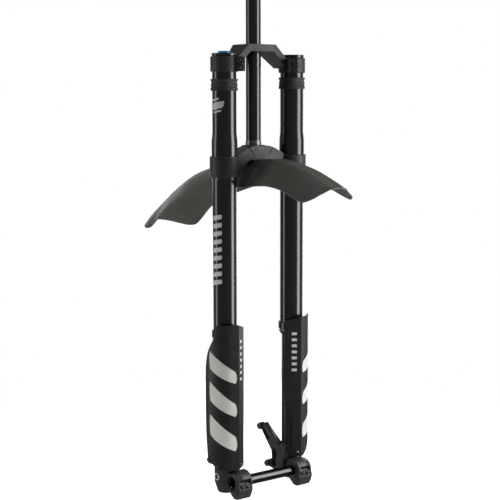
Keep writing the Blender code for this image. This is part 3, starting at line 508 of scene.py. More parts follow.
def make_steerer():
    foot = LOWER_BOSS_BOTTOM + 0.001
    profile = [
        (STEERER_R - 0.0005, STEERER_TOP), (STEERER_R, STEERER_TOP - 0.0005, 0.0004),
        (STEERER_R, 0.0088), (0.01452, 0.0078, 0.0004), (0.015, 0.006, 0.0004), (0.015, -0.0017),
        (STEERER_R, -0.0017), (STEERER_R, foot), (STEERER_BORE_R, foot),
        (STEERER_BORE_R, STEERER_TOP - 0.0005), (STEERER_BORE_R + 0.0005, STEERER_TOP),
    ]
    steerer = lathe("steerer", profile, None, FINE)

    def on_seat(at):
        return 0.0004 < at.z < 0.0086 and at.xy.length > STEERER_R - 0.0002

    stand_for("steerer_tube", in_two_finishes(steerer, MATERIALS["satin_black"], SEAT_METAL, on_seat))


def make_outer_tube(label, side):
    profile = [
        (TUBE_R - 0.0005, TUBE_TOP), (TUBE_R, TUBE_TOP - 0.0005, 0.0004), (TUBE_R, 0.0245, 0.02),
        (TUBE_CLAMPED_R, 0.0085, 0.02), (TUBE_CLAMPED_R, LOWER_CLAMP_BOTTOM - 0.0004, 0.0006),
        (TUBE_R, LOWER_CLAMP_BOTTOM - 0.0044, 0.002), (TUBE_R - 0.0001, TUBE_BOTTOM),
        (TUBE_BORE_R, TUBE_BOTTOM), (TUBE_BORE_R, TUBE_TOP),
    ]
    stand_for(f"outer_tube_{label}", lathe("tube", profile, on_leg(side), FINE))


def make_bumper(label, side):
    """A rubber sleeve: a flange, a waist with a raised band, and two lower flanges."""
    top = {-1: 0.1221, 1: 0.1265}[side]
    bottom = top - 0.0215
    r = 0.0252
    soft = 0.0006
    profile = [
        (r - 0.0008, top, soft), (r, top - 0.0012, soft), (r, top - 0.003, soft),
        (r - 0.0017, top - 0.0044, soft), (r - 0.0017, top - 0.0078, soft),
        (r - 0.0006, top - 0.0088, soft), (r - 0.0006, top - 0.0112, soft),
        (r - 0.0014, top - 0.0119, 0.0003), (r - 0.0006, top - 0.0126, soft),
        (r - 0.0006, bottom + 0.0072, soft), (r - 0.0018, bottom + 0.0062, soft),
        (r, bottom + 0.0046, soft), (r, bottom + 0.003, soft), (r - 0.001, bottom + 0.0022, 0.0004),
        (r - 0.0002, bottom + 0.0014, soft), (r - 0.0004, bottom, soft), (TUBE_R + 0.0001, bottom),
        (TUBE_R + 0.0001, top), (r - 0.001, top),
    ]
    stand_for(f"frame_bumper_{label}", lathe("bumper", profile, on_leg(side), FINE))


def make_seals(label, side):
    over_tube, over_stanchion = TUBE_R + GAP / 2, 0.0185 + GAP
    top, bottom = -0.3425, -0.3565

    def notched(r, z, angle):
        """Four spanner notches in the collar's lower half."""
        notch = abs((angle / (math.pi / 2)) % 1 - 0.5) < 0.07
        return r - 0.0008 if notch and r > 0.024 and z < top - 0.006 else r

    collar = [
        (0.0243, top, 0.0005), (0.0253, top - 0.001, 0.0005), (0.0253, top - 0.0055, 0.0003),
        (0.0248, top - 0.0059, 0.0003), (0.0253, top - 0.0063, 0.0003),
        (0.0253, bottom + 0.0012, 0.0005), (0.0241, bottom, 0.0003), (over_stanchion, bottom),
        (over_stanchion, TUBE_BOTTOM - GAP), (over_tube, TUBE_BOTTOM - GAP), (over_tube, top),
        (0.0241, top),
    ]
    stand_for(f"seal_head_{label}", lathe("collar", collar, on_leg(side), 128, notched))
    start = bottom - GAP
    wiper = [
        (0.0224, start), (0.0226, start - 0.0006, 0.0003), (0.0222, start - 0.0022, 0.0004),
        (0.0236, start - 0.0032, 0.0005), (0.0236, start - 0.0048, 0.0006),
        (0.0216, start - 0.0066, 0.001), (0.0202, -0.3666, 0.0005), (over_stanchion, -0.3666),
        (over_stanchion, start),
    ]
    ring = lathe("wiper", wiper, on_leg(side), FINE)

    def on_ring(at):
        return at.z > start - 0.0016 and (at - leg(side, at.z)).length > 0.022

    stand_for(f"wiper_seal_{label}", in_two_finishes(ring, MATERIALS["rubber"], RING_METAL, on_ring))


def make_stanchion(label, side):
    profile = [
        (0.0177, -0.085), (0.0185, -0.0858, 0.0006), (0.0185, -0.6015), (0.0168, -0.6015),
        (0.0168, -0.085),
    ]
    stand_for(f"stanchion_{label}", lathe("stanchion", profile, on_leg(side), FINE))


def make_caps():
    def spanner(r, z, angle):
        """Eight shallow notches round the cap's flange."""
        notch = abs((angle / (math.pi / 4)) % 1 - 0.5) < 0.08
        return r - 0.001 if notch and r > 0.0215 and z > TUBE_TOP + 0.0012 else r

    def cap(node, side, bore, recess, depth):
        profile = [
            (recess + 0.0004, CAP_TOP, 0.0002), (0.0222, CAP_TOP, 0.0005),
            (0.023, CAP_TOP - 0.0008, 0.0005), (0.023, TUBE_TOP + GAP, 0.0003),
            (TUBE_BORE_R - GAP, TUBE_TOP + GAP), (TUBE_BORE_R - GAP, 0.142), (bore, 0.142),
            (bore, CAP_TOP - depth), (recess, CAP_TOP - depth), (recess, CAP_TOP - 0.0004, 0.0002),
        ]
        stand_for(node, lathe("cap", profile, on_leg(side), 128, spanner))

    cap("damper_top_cap", -1, 0.004, 0.015, 0.0008)
    cap("air_top_cap", 1, 0.003, 0.0095, 0.006)
    top, seat = CAP_TOP + 0.0002, CAP_TOP - 0.0057

    def ribs(r, z, angle):
        return r * (1 + 0.03 * math.cos(16 * angle)) if r > 0.0038 and z < top - 0.0004 else r

    stem = [(0, top), (0.0036, top, 0.0004), (0.0042, top - 0.0006, 0.0003), (0.0042, seat), (0, seat)]
    stand_for("air_valve_cap", lathe("valve_cap", stem, on_leg(1), 64, ribs))


def make_knobs():
    low, high, r = CAP_TOP - 0.0005, 0.1726, 0.0113

    def flutes(radius, z, angle):
        dip = max(0.0, math.cos(16 * angle)) ** 3
        return radius - 0.0009 * dip if radius > 0.0102 and z < high - 0.0003 else radius

    profile = [
        (0, high - 0.0006), (0.0026, high - 0.0006), (0.003, high - 0.0001, 0.0002),
        (r - 0.0013, high, 0.0006), (r, high - 0.0011, 0.0005), (r, low + 0.0005, 0.0002),
        (r - 0.0005, low), (0.0033, low), (0.0033, low + 0.0024), (0, low + 0.0024),
    ]
    stand_for("compression_knob", lathe("knob", profile, on_leg(-1), 160, flutes))
    high, low = -0.6452, -0.6525

    def lobes(radius, z, angle):
        return radius * (1 - 0.05 * max(0.0, math.cos(8 * angle)) ** 2) if radius > 0.007 else radius

    profile = [
        (0, high), (0.008, high, 0.0004), (0.0088, high - 0.0018, 0.0006),
        (0.0082, low + 0.0004, 0.0004), (0.0072, low, 0.0003), (0, low),
    ]
    knob = lathe("rebound", profile, on_leg(-1), 96, lobes)
    boolean(knob, [block("rebound_slot", (0.011, 0.0018, 0.003), leg(-1, low))])
    stand_for("rebound_knob", shaded(knob))


AXLE_Y, AXLE_Z, AXLE_R = -0.05, -0.6285, 0.01
BARREL_END_X = 0.089


def make_axle():
    """A hollow axle with a shallow round head in the right dropout."""
    end = BARREL_END_X - 0.0015
    under_head = BARREL_END_X - 0.0057
    profile = [
        (0.009, 0.088), (AXLE_R, 0.087, 0.0005), (AXLE_R, -under_head, 0.0004),
        (0.0138, -under_head, 0.0003), (0.0138, -end + 0.0008, 0.0006), (0.013, -end, 0.0004),
        (0.01, -end, 0.0003), (0.0086, -end + 0.0014, 0.0003), (0.0085, -0.02), (0.0085, 0.088),
    ]
    axle = lathe("axle_tube", profile, aim((0, AXLE_Y, AXLE_Z), (1, 0, 0)), FINE)
    stand_for("axle", axle, AXLE_METAL)


# ---- Crowns ------------------------------------------------------------------------------------

SCREW_HOLE_R, SCREW_SINK_R = 0.0027, 0.00465
FENDER_SCREWS = {
    "front_right": (-0.0095, -0.0165),
    "front_left": (0.0095, -0.0165),
    "rear_right": (-0.0095, 0.0165),
    "rear_left": (0.0095, 0.0165),
}


def bore_cuts(name, radius, axis, low, high, chamfer=0.0007):
    """An upright through bore with a small chamfer at each mouth."""
    wide, deep = radius + 2 * chamfer, 2 * chamfer
    return [
        bar(name, radius, axis + UP * (low - 0.02), UP, high - low + 0.04, FINE),
        cone(name + "_top", radius, wide, axis + UP * (high - chamfer), UP, deep, FINE),
        cone(name + "_foot", wide, radius, axis + UP * (low - chamfer), UP, deep, FINE),
    ]


def screw_cuts(seat, along, depth, sink):
    """A screw's hole, and the round well that its head sits in."""
    return [
        bar("hole", SCREW_HOLE_R, seat - along * 0.001, along, depth),
        bar("sink", SCREW_SINK_R, seat + along * 0.0002, -along, sink, 64),
    ]


def clamp_ring(name, radius, side, low, high, soft=0.0012):
    profile = [
        (0, high), (radius - soft, high, 0.0004), (radius, high - soft, 0.0004),
        (radius, low + soft, 0.0004), (radius - soft, low, 0.0004), (0, low),
    ]
    return lathe(name, profile, on_leg(side), FINE)


def split_clamps(screw_name, radius, bore, span, ear, screws):
    """A crown's two leg clamps, each with a split ear: their solids, then what is cut from them.

    ear is the ear's level direction on the right leg, and its start and end measured from the leg's
    axis. screws are the heights of its screws, which are made here too.
    """
    low, high = span
    (inboard, backward), start, end = ear
    height = high - low - 0.002
    solids, cuts = [], []
    for label, side in SIDES.items():
        radial = Vector((-side * inboard, backward, 0)).normalized()
        across = UP.cross(radial)
        if across.x * side < 0:
            across = -across
        middle = leg(side, (low + high) / 2)
        solids.append(clamp_ring("clamp", radius, side, low, high))
        at = middle + radial * (start + end) / 2 + across * 0.001
        solids.append(block("ear", (end - start, 0.019, height), at, UP, radial))
        at = middle + radial * (end - 0.006)
        cuts.append(block("slot", (0.022, 0.0022, height + 0.004), at, UP, radial))
        for place, z in screws.items():
            seat = leg(side, z) + radial * (end - 0.006) + across * 0.0055
            cuts += screw_cuts(seat, -across, 0.0125, 0.01)
            at = seat + across * 0.0048 + radial * 0.006
            cuts.append(block("mouth", (0.012, 0.01, 2 * SCREW_SINK_R), at, UP, radial))
            socket_screw(f"{screw_name}_{label}_{place}", seat, -across, 0.0108)
        cuts += bore_cuts("bore", bore, leg(side), low, high)
    return solids, cuts


def make_upper_crown():
    top, bottom = 0.1867, 0.1733
    drop = 0.0257
    half = [(0.031, top), (0.031 + drop, top - drop), (0.031 + drop, top - drop - 0.0185), (0.0265, bottom)]
    outline = half + [(-x, z) for x, z in reversed(half)]
    band = extruded("band", outline, 0.08, aim((0, 0, 0), (0, -1, 0), (1, 0, 0)))
    right = [(0.075, -0.029), (0.075, 0.002), (0.031, 0.0225)]
    plan = right + [(-x, y) for x, y in reversed(right)]
    boolean(band, [extruded("plan", plan, 0.6, Matrix())], "INTERSECT")
    ear = ((0.59, -0.81), 0.0235, 0.038)
    screws = {"top": 0.1558, "bottom": 0.1421}
    span = (0.1349, 0.163)
    clamps, cuts = split_clamps("upper_pinch_bolt", 0.0253, TUBE_R + 0.0001, span, ear, screws)
    crown = forged("upper", [band] + clamps, 0.0008, 3)
    cuts += bore_cuts("steerer_bore", STEERER_R + 0.0001, Vector(), bottom, top, 0.0008)
    cuts.append(block("plate_slot", (0.0016, 0.016, 0.04), (0, 0.02, top - 0.006)))
    seat = Vector((0.013, 0.0186, (top + bottom) / 2))
    inboard = Vector((-1, 0, 0))
    boolean(crown, cuts + screw_cuts(seat, inboard, 0.027, 0.04))
    stand_for("upper_crown", shaded(crown, 30))
    socket_screw("steerer_pinch_bolt", seat, inboard, 0.0245)


def make_lower_crown():
    foot = LOWER_BOSS_BOTTOM
    profile = [(0, 0), (0.0215, 0, 0.0006), (0.023, -0.0015, 0.0006), (0.023, foot, 0.0006), (0, foot)]
    boss = lathe("boss", profile, None, FINE)
    half = [
        (0.018, -0.0008), (0.031, -0.0045), (0.045, -0.0115), (0.058, LOWER_CLAMP_TOP - 0.0008),
        (0.058, LOWER_CLAMP_BOTTOM + 0.002), (0.05, -0.0505), (0.04, -0.041),
        (0.027, LOWER_BOSS_BOTTOM),
    ]
    outline = half + [(-x, z) for x, z in reversed(half)]
    arms = extruded("arms", outline, 0.035, aim((0, -0.008, 0), (0, -1, 0), (1, 0, 0)))
    ear = ((0.6, 0.8), 0.025, 0.0375)
    screws = {"top": -0.0285, "bottom": -0.046}
    span = (LOWER_CLAMP_BOTTOM, LOWER_CLAMP_TOP)
    clamps, cuts = split_clamps("lower_pinch_bolt", 0.0273, TUBE_CLAMPED_R + 0.0001, span, ear, screws)
    crown = forged("lower", [boss, arms] + clamps, 0.0009, 4)
    cuts.append(bar("crown_bore", STEERER_R + 0.0001, (0, 0, -0.06), UP, 0.08, FINE))
    cuts.append(bar("race_seat_sink", 0.0151, (0, 0, -0.002), UP, 0.02, FINE))
    for x, y in FENDER_SCREWS.values():
        cuts.append(bar("thread", SCREW_HOLE_R, (x, y, -0.04), UP, 0.024))
    for side in SIDES.values():
        at, along = (side * 0.0235, -0.0255, -0.0095), (side * 0.6, 0, 0.8)
        cuts.append(block("notch", (0.0017, 0.008, 0.017), at, along, (0.8, 0, side * -0.6)))
    boolean(crown, cuts)
    stand_for("lower_crown", shaded(crown, 30))


# ---- Dropouts ----------------------------------------------------------------------------------

DROPOUT_R, DROPOUT_TOP, DROPOUT_BOTTOM = 0.0215, -0.585, -0.653
JAW_ANGLE = math.radians(42)
POST_TILT = math.radians(19)
POST_MIDDLE = Vector((0.05, 0.037, -0.5968))
POST_OFFSET, POST_R = 0.0371, 0.007
HUB_FACE_X = 0.055
GUARD_OUTLINE = [
    (-0.0295, 0.0177), (-0.0045, 0.0374), (0.014, 0.031), (0.026, 0.02), (0.0325, 0.006),
    (0.0345, -0.006), (0.033, -0.017),
]


def guard_point(place):
    """A point on the guard's outline: 0 to 1 is the flat inner face, 1 to 6 the curved side."""
    if place <= 1:
        return Vector(GUARD_OUTLINE[0]).lerp(Vector(GUARD_OUTLINE[1]), place)
    curve = list(enumerate(GUARD_OUTLINE))[1:]
    return Vector([smooth_between([(k, p[axis]) for k, p in curve], place) for axis in (0, 1)])


def guard_screw_places(side):
    places = {}
    for name, (place, z) in {"front": (0.78, -0.5955), "side": (5.0, -0.587)}.items():
        outboard, forward = guard_point(place)
        run = guard_point(place + 0.05) - guard_point(place - 0.05)
        at = leg(side, z) + Vector((side * outboard, -forward, 0))
        places[name] = (at, Vector((side * run.y, run.x, 0)).normalized())
    return places


def make_dropout(label, side):
    name = f"dropout_{label}"
    outward = Vector((side, 0, 0))
    profile = [
        (0, DROPOUT_TOP), (DROPOUT_R - 0.001, DROPOUT_TOP, 0.0006),
        (DROPOUT_R, DROPOUT_TOP - 0.002, 0.0006), (DROPOUT_R, -0.633, 0.004),
        (0.015, DROPOUT_BOTTOM, 0.0008), (0, DROPOUT_BOTTOM),
    ]
    foot = lathe("foot", profile, on_leg(side), FINE)
    inner_end = Vector((side * HUB_FACE_X, AXLE_Y, AXLE_Z))
    length = BARREL_END_X - HUB_FACE_X
    profile = [
        (0, length), (0.0172, length, 0.0006), (0.0186, length - 0.0014, 0.0012),
        (0.02, length - 0.007, 0.002), (0.022, length - 0.012, 0.002), (0.022, 0.0012, 0.0008),
        (0.0208, 0, 0.0006), (0, 0),
    ]
    barrel = lathe("barrel", profile, aim(inner_end, outward), FINE)
    jaw_outline = [
        (0.0215, -0.002), (0.0235, -0.01), (0.0195, -0.0205), (0.014, -0.029), (0.004, -0.029),
        (-0.009, -0.02), (-0.009, -0.005),
    ]
    middle = inner_end + outward * (length / 2 - 0.0005)
    jaw = extruded("jaw", jaw_outline, length - 0.003, aim(middle, (-1, 0, 0), (0, -1, 0)))
    web = block("web", (0.03, 0.033, 0.03), (side * 0.0725, -0.033, -0.626))
    solids = [foot, barrel, jaw, web]
    for at, inward in guard_screw_places(side).values():
        solids.append(bar("post", 0.0042, at + inward * 0.0032, inward, 0.02))
    posts = []
    cuts = []
    if side == SIDES["left"]:
        posts, cuts = brake_mount()
    body = forged(name + "_body", solids + posts, 0.0008, 4)

    cuts += [
        bar("socket", 0.0186, leg(side, -0.6018), UP, 0.05, FINE),
        bar("rod_hole", 0.0063 if side > 0 else 0.0053, leg(side, -0.66), UP, 0.08),
        bar("recess", 0.0098, leg(side, -0.66), UP, 0.0215),
        bar("axle_bore", AXLE_R + 0.0001, (side * 0.04, AXLE_Y, AXLE_Z), outward, 0.08, FINE),
    ]
    if side == SIDES["right"]:
        head = Vector((side * (BARREL_END_X - 0.006), AXLE_Y, AXLE_Z))
        cuts.append(bar("head_sink", 0.0141, head, outward, 0.02, FINE))
        mouth = Vector((side * (BARREL_END_X - 0.0006), AXLE_Y, AXLE_Z))
        cuts.append(cone("head_mouth", 0.0141, 0.0153, mouth, outward, 0.0012, FINE))
    along = Vector((0, -math.cos(JAW_ANGLE), -math.sin(JAW_ANGLE)))
    heads = Vector((0, -math.sin(JAW_ANGLE), math.cos(JAW_ANGLE)))
    cuts.append(block("slot", (0.03, 0.002, length + 0.02), middle + along * 0.019, (1, 0, 0), along))
    screws = middle + along * 0.0165
    hollow = screws + heads * 0.015 - along * 0.001
    pocket = block("pocket", (0.016, 0.012, 0.026), hollow, (1, 0, 0), along)
    cuts.append(softened(pocket, 0.0022, 4))
    for place, offset in (("inner", -0.0056), ("outer", 0.0056)):
        seat = screws + Vector((side * offset, 0, 0)) + heads * 0.0093
        cuts.append(bar("pinch_hole", SCREW_HOLE_R, seat, -heads, 0.0185))
        socket_screw(name.replace("dropout", "axle_pinch_bolt") + "_" + place, seat, -heads, 0.0165)
    for spot, (at, inward) in guard_screw_places(side).items():
        cuts.append(bar("guard_thread", 0.0022, at, inward, 0.0118, 24))
        guard_screw(f"guard_screw_{label}_{spot}", at - inward * GAP, inward)
    boolean(body, cuts)
    stand_for(name, shaded(body, 30))


BRAKE_WEB = [  # (y, z) round the bracket that carries the brake posts
    (0.035, -0.5515), (0.0425, -0.565), (0.0225, -0.587), (0.0085, -0.6015), (0.007, -0.617),
    (0.016, -0.6215), (0.0145, -0.6365), (-0.006, -0.639), (-0.03, -0.639), (-0.03, -0.587),
    (-0.013, -0.586), (0.014, -0.5705),
]
BRAKE_POCKETS = {  # hollows in its inboard face
    "strut_pocket": [(0.0375, -0.564), (0.02, -0.5835), (0.013, -0.5795), (0.0325, -0.562)],
    "foot_pocket": [
        (0.003, -0.596), (0.004, -0.618), (0.0085, -0.624), (0.006, -0.632), (-0.006, -0.633),
        (-0.008, -0.6),
    ],
}
BRAKE_POCKET_FLOOR_X = 0.057


def brake_gusset():
    """The bracket's front flange, which widens from the upper post down to the foot."""
    form = bmesh.new()
    corners = [
        (0.049, 0.035, -0.5515), (0.06, 0.035, -0.5515), (0.049, 0.0345, -0.557),
        (0.06, 0.0345, -0.557), (0.049, -0.013, -0.586), (0.049, -0.013, -0.591),
        (0.072, 0.0005, -0.59), (0.072, 0.0005, -0.595),
    ]
    for corner in corners:
        form.verts.new(corner)
    bmesh.ops.convex_hull(form, input=form.verts)
    return from_form("brake_gusset", form)


def brake_mount():
    """The bracket's solids to grow together, and what is cut from them."""
    line = Vector((0, math.sin(POST_TILT), math.cos(POST_TILT)))
    facing = Vector((0, math.cos(POST_TILT), -math.sin(POST_TILT)))
    plane = aim((0.055, 0, 0), (1, 0, 0), (0, 1, 0))
    solids, cuts = [extruded("brake_web", BRAKE_WEB, 0.013, plane), brake_gusset()], []
    for offset in (POST_OFFSET, -POST_OFFSET):
        face = POST_MIDDLE + line * offset
        solids.append(bar("post", POST_R, face - facing * 0.013, facing, 0.013, 64))
        cuts.append(bar("brake_thread", 0.0026, face - facing * 0.011, facing, 0.015))
        cuts.append(cone("brake_lead", 0.0026, 0.0036, face - facing * 0.0007, facing, 0.001))
    for name, outline in BRAKE_POCKETS.items():
        hollow = aim((BRAKE_POCKET_FLOOR_X - 0.02, 0, 0), (1, 0, 0), (0, 1, 0))
        cuts.append(softened(extruded(name, outline, 0.04, hollow), 0.0012, 3))
    return solids, cuts


def button_screw(name, profile, well, seat, inward):
    """A low button-head screw, whose hexagonal socket starts well above its seat."""
    screw = lathe(name, profile, aim(seat, -inward), 48)
    boolean(screw, [bar(name + "_socket", 0.0014, seat - inward * well, -inward, 0.004, 6)])
    return shaded(screw, 28)


def guard_screw(node, seat, inward):
    profile = [
        (0, 0.004), (0.0018, 0.0039, 0.0006), (0.0033, 0.0026, 0.001), (0.0038, 0.0006, 0.0004),
        (0.0038, 0, 0.0001), (0.002, 0), (0.002, -0.0095), (0, -0.0095),
    ]
    stand_for(node, button_screw(node, profile, 0.0018, seat, inward))


# ---- Guards ------------------------------------------------------------------------------------

GUARD_TOP, GUARD_BOTTOM, GUARD_WALL = -0.329, -0.6035, 0.0025


def guard_surface(side, place, z, lift=0.0):
    """A point on a guard's outer face, lifted off it along its normal."""
    outboard, forward = guard_point(place)
    run = guard_point(place + 0.02) - guard_point(place - 0.02)
    normal = Vector((side * run.y, run.x, 0)).normalized() * -lift
    return leg(side, z) + Vector((side * outboard, -forward, 0)) + normal


def inner_edge(side):
    if side == SIDES["left"]:
        return [(-0.6035, 0.45), (-0.545, 0.45), (-0.52, 0.32), (-0.5, 0.0), (-0.329, 0.0)]
    return [(-0.6035, 0.04), (-0.545, 0.06), (-0.5, 0.0), (-0.329, 0.0)]


BACK_EDGE = [
    (-0.6035, 5.3), (-0.57, 5.6), (-0.535, 6.0), (-0.415, 6.0), (-0.385, 5.3), (-0.355, 3.9),
    (-0.329, 3.4),
]


def edge_shift(side, place, share):
    """How far the guard's two ends are moved up or down at a place round its outline."""
    dip = 0.009 * max(0, 1 - place) * share**8
    if side == SIDES["left"]:
        rise = 0.028 * max(0, 1 - abs(place - 2.9) / 1.5)
    else:
        rise = 0.009 * min(max(0, place - 3.2), 1)
    return rise * (1 - share) ** 8 - dip


def make_clip_screw():
    """The right guard's third screw, low on its outer side."""
    seat = guard_surface(SIDES["right"], 3.4, -0.599)
    inward = (guard_surface(SIDES["right"], 3.4, -0.599, -0.01) - seat).normalized()
    profile = [
        (0, 0.0032), (0.0018, 0.0031, 0.0006), (0.0032, 0.002, 0.0008), (0.0036, 0, 0.0002),
        (0.0036, -0.003), (0, -0.003),
    ]
    screw = button_screw("guard_clip_screw", profile, 0.0014, seat, inward)
    place_piece(screw, MATERIALS["bolt_steel"], "lower_legs", "bolt_steel")


def make_guard(label, side):
    """A moulded half shell round the front and outer side of the stanchion."""
    flat, curved, rows = 12, 48, 96
    columns = flat + curved
    verts = []
    for j in range(rows + 1):
        share = j / rows
        z = GUARD_BOTTOM + share * (GUARD_TOP - GUARD_BOTTOM)
        start = smooth_between(inner_edge(side), z)
        end = smooth_between(BACK_EDGE, z)
        for i in range(columns + 1):
            place = start + (1 - start) * i / flat if i <= flat else 1 + (end - 1) * (i - flat) / curved
            verts.append(guard_surface(side, place, z + edge_shift(side, place, share)))
    guard = walled(new_object("guard", verts, grid_faces(columns, rows, side < 0)), GUARD_WALL)
    holes = []
    for at, inward in guard_screw_places(side).values():
        holes.append(bar("guard_hole", 0.0022, at - inward * 0.01, inward, 0.02, 24))
    softened(boolean(guard, holes), 0.0006, 2, 50)
    stand_for(f"guard_{label}", shaded(guard, 40))


MARK_COLUMNS, MARK_ROWS = 24, 12
INK_THICKNESS = 0.00006
MARK_ROUNDING = 0.16  # how far a mark's four corners are drawn in


def patch(corners, on_surface):
    """The vertices of a four-cornered mark, laid on a surface by on_surface(across, up)."""
    columns, rows = MARK_COLUMNS, MARK_ROWS
    a, b, c, d = (Vector(p) for p in corners)
    verts = []
    for j in range(rows + 1):
        for i in range(columns + 1):
            u, v = 2 * i / columns - 1, 2 * j / rows - 1
            u, v = u * math.sqrt(1 - MARK_ROUNDING * v * v), v * math.sqrt(1 - MARK_ROUNDING * u * u)
            u, v = (u + 1) / 2, (v + 1) / 2
            at = a.lerp(b, u).lerp(d.lerp(c, u), v)
            verts.append(on_surface(at.x, at.y))
    return verts


def marks(name, shapes, on_surface, body, slot, outward):
    """Plain printed bars as one thin piece. outward(point) is the surface's outward direction."""
    verts, faces = [], []
    for corners in shapes:
        more = patch(corners, on_surface)
        first = len(verts)
        normal = (more[1] - more[0]).cross(more[MARK_COLUMNS + 1] - more[0])
        flip = normal.dot(outward(more[0])) < 0
        verts += more
        faces += grid_faces(MARK_COLUMNS, MARK_ROWS, flip, first)
    ink = walled(new_object(name, verts, faces), INK_THICKNESS)
    place_piece(shaded(ink, 40), INK, body, slot)


def make_graphics(label, side):
    """Generic slanted bars and dashes where the fork is printed."""

    def on_guard(place, z):
        return guard_surface(side, place, z, 0.00012)

    def from_leg(point):
        return point - leg(side, point.z)

    bars = [
        [(4.7, -0.376), (1.2, -0.417), (1.2, -0.441), (4.7, -0.412)],
        [(4.7, -0.433), (1.2, -0.478), (1.2, -0.504), (4.7, -0.472)],
        [(4.7, -0.495), (1.2, -0.54), (1.2, -0.57), (4.7, -0.538)],
    ]
    marks(f"guard_bars_{label}", bars, on_guard, "lower_legs", "plastic", from_leg)
    dashes = []
    for k in range(7):
        z = -0.359 - 0.0118 * k
        dashes.append([(0.42, z), (0.74, z), (0.74, z - 0.0056), (0.42, z - 0.0056)])
    marks(f"guard_dashes_{label}", dashes, on_guard, "lower_legs", "plastic", from_leg)

    def on_tube(angle, z):
        r = TUBE_R + 0.00008
        return leg(side, z) + Vector((side * r * math.cos(angle), -r * math.sin(angle), 0))

    ticks = []
    for k in range(9):
        z = -0.128 - 0.015 * k
        ticks.append([(-0.2, z), (0.72, z + 0.004), (0.72, z - 0.0045), (-0.2, z - 0.0085)])
    badge = [
        [(-0.3, 0.085), (0.5, 0.0885), (0.5, 0.0845), (-0.3, 0.081)],
        [(-0.2, 0.078), (1.00, 0.083), (0.86, 0.07), (-0.2, 0.0655)],
        [(-0.1, 0.063), (0.74, 0.0665), (0.68, 0.063), (-0.1, 0.0598)],
    ]
    marks(f"tube_bars_{label}", ticks + badge, on_tube, "upper_assembly", "satin_black", from_leg)


def make_badge():
    """A plain ring set in the right foot's outer side."""
    at = Vector((-LEG_X - 0.0213, LEG_Y, -0.6214))
    profile = [
        (0.0066, 0.0006), (0.0069, 0.0003, 0.0002), (0.0069, -0.001), (0.0052, -0.001),
        (0.0052, 0.0003, 0.0002), (0.0055, 0.0006),
    ]
    ring = lathe("foot_ring_right", profile, aim(at, (-1, 0, 0)), MEDIUM)
    place_piece(ring, INK, "lower_legs", "casting")


# ---- Mudguard ----------------------------------------------------------------------------------

FENDER_SPINE = [  # (y, z) along the middle of the top, from the front edge to the back one
    (-0.247, -0.0675), (-0.203, -0.0512), (-0.169, -0.04), (-0.118, -0.0292), (-0.08, -0.0243),
    (-0.05, -0.0245), (-0.032, -0.0284), (0.02, -0.0288), (0.1, -0.0425), (0.18, -0.064),
    (0.25, -0.0975), (0.32, -0.1405), (0.357, -0.165),
]
FENDER_HALF_WIDTH = [
    (-0.247, 0.012), (-0.245, 0.018), (-0.2396, 0.03), (-0.234, 0.042), (-0.227, 0.051),
    (-0.216, 0.0562), (-0.19, 0.057), (-0.12, 0.054), (-0.045, 0.0465), (0.02, 0.0465),
    (0.12, 0.054), (0.2, 0.057), (0.28, 0.058), (0.304, 0.0555), (0.325, 0.045),
    (0.34, 0.03), (0.35, 0.0165), (0.357, 0.0045),
]
FENDER_SKIRT = [  # how far the edge hangs below the middle
    (-0.247, 0.0006), (-0.245, 0.002), (-0.2396, 0.0112), (-0.234, 0.0205), (-0.227, 0.028),
    (-0.216, 0.035), (-0.19, 0.038), (-0.155, 0.0373), (-0.117, 0.0405), (-0.06, 0.0485),
    (0.02, 0.0465), (0.123, 0.049), (0.224, 0.049), (0.277, 0.058), (0.304, 0.047),
    (0.325, 0.031), (0.34, 0.0165), (0.35, 0.007), (0.357, 0.0008),
]
FENDER_SECTIONS = [  # where along its length the mudguard's cross-section is drawn
    *(-0.247, -0.245, -0.2396, -0.234, -0.227, -0.216, -0.203, -0.18, -0.155, -0.13),
    *(-0.105, -0.08, -0.065, -0.05, -0.032, 0.0, 0.03, 0.07, 0.11, 0.15),
    *(0.19, 0.23, 0.26, 0.28, 0.304, 0.325, 0.34, 0.35, 0.357),
]
FENDER_WALL = 0.0024
FENDER_COLUMNS, FENDER_FOLD = 56, 14  # steps across it, and how many steps from an edge each fold is
FENDER_RIDGE = 0.0006  # how far the fold's ridge stands up


def fender_height(x, y):
    """The upper surface: level along the middle, then sloping down to the edge."""
    width = smooth_between(FENDER_HALF_WIDTH, y)
    flat = min(0.014, width * 0.4)
    beyond = max(0.0, (abs(x) - flat) / (width - flat))
    return smooth_between(FENDER_SPINE, y) - smooth_between(FENDER_SKIRT, y) * beyond**1.25


def make_fender():
    columns, between = FENDER_COLUMNS, 7
    rows = between * (len(FENDER_SECTIONS) - 1)
    verts = []
    for j in range(rows + 1):
        section = min(j // between, len(FENDER_SECTIONS) - 2)
        before, after = FENDER_SECTIONS[section : section + 2]
        y = before + (after - before) * (j / between - section)
        width = smooth_between(FENDER_HALF_WIDTH, y)
        for i in range(columns + 1):
            x = width * (2 * i / columns - 1)
            ridge = FENDER_RIDGE if i in (FENDER_FOLD, columns - FENDER_FOLD) else 0.0
            verts.append(Vector((x, y, fender_height(x, y) + ridge)))
    fender = walled(new_object("mudguard", verts, grid_faces(columns, rows)), FENDER_WALL)
    for vertex in fender.data.vertices:
        vertex.co.y = min(max(vertex.co.y, FENDER_SPINE[0][0]), FENDER_SPINE[-1][0])
    holes = []
    for place, (x, y) in FENDER_SCREWS.items():
        holes.append(bar("fender_hole", SCREW_HOLE_R, (x, y, -0.045), UP, 0.03))
        seat = Vector((x, y, fender_height(x, y) - FENDER_WALL - 0.0018))
        socket_screw(f"fender_screw_{place}", seat, UP, 0.012)
    softened(boolean(fender, holes), 0.0006, 2, 50)
    stand_for("fender", shaded(fender, 40), FENDER_PLASTIC)


# ---- Carried-over nodes ------------------------------------------------------------------------


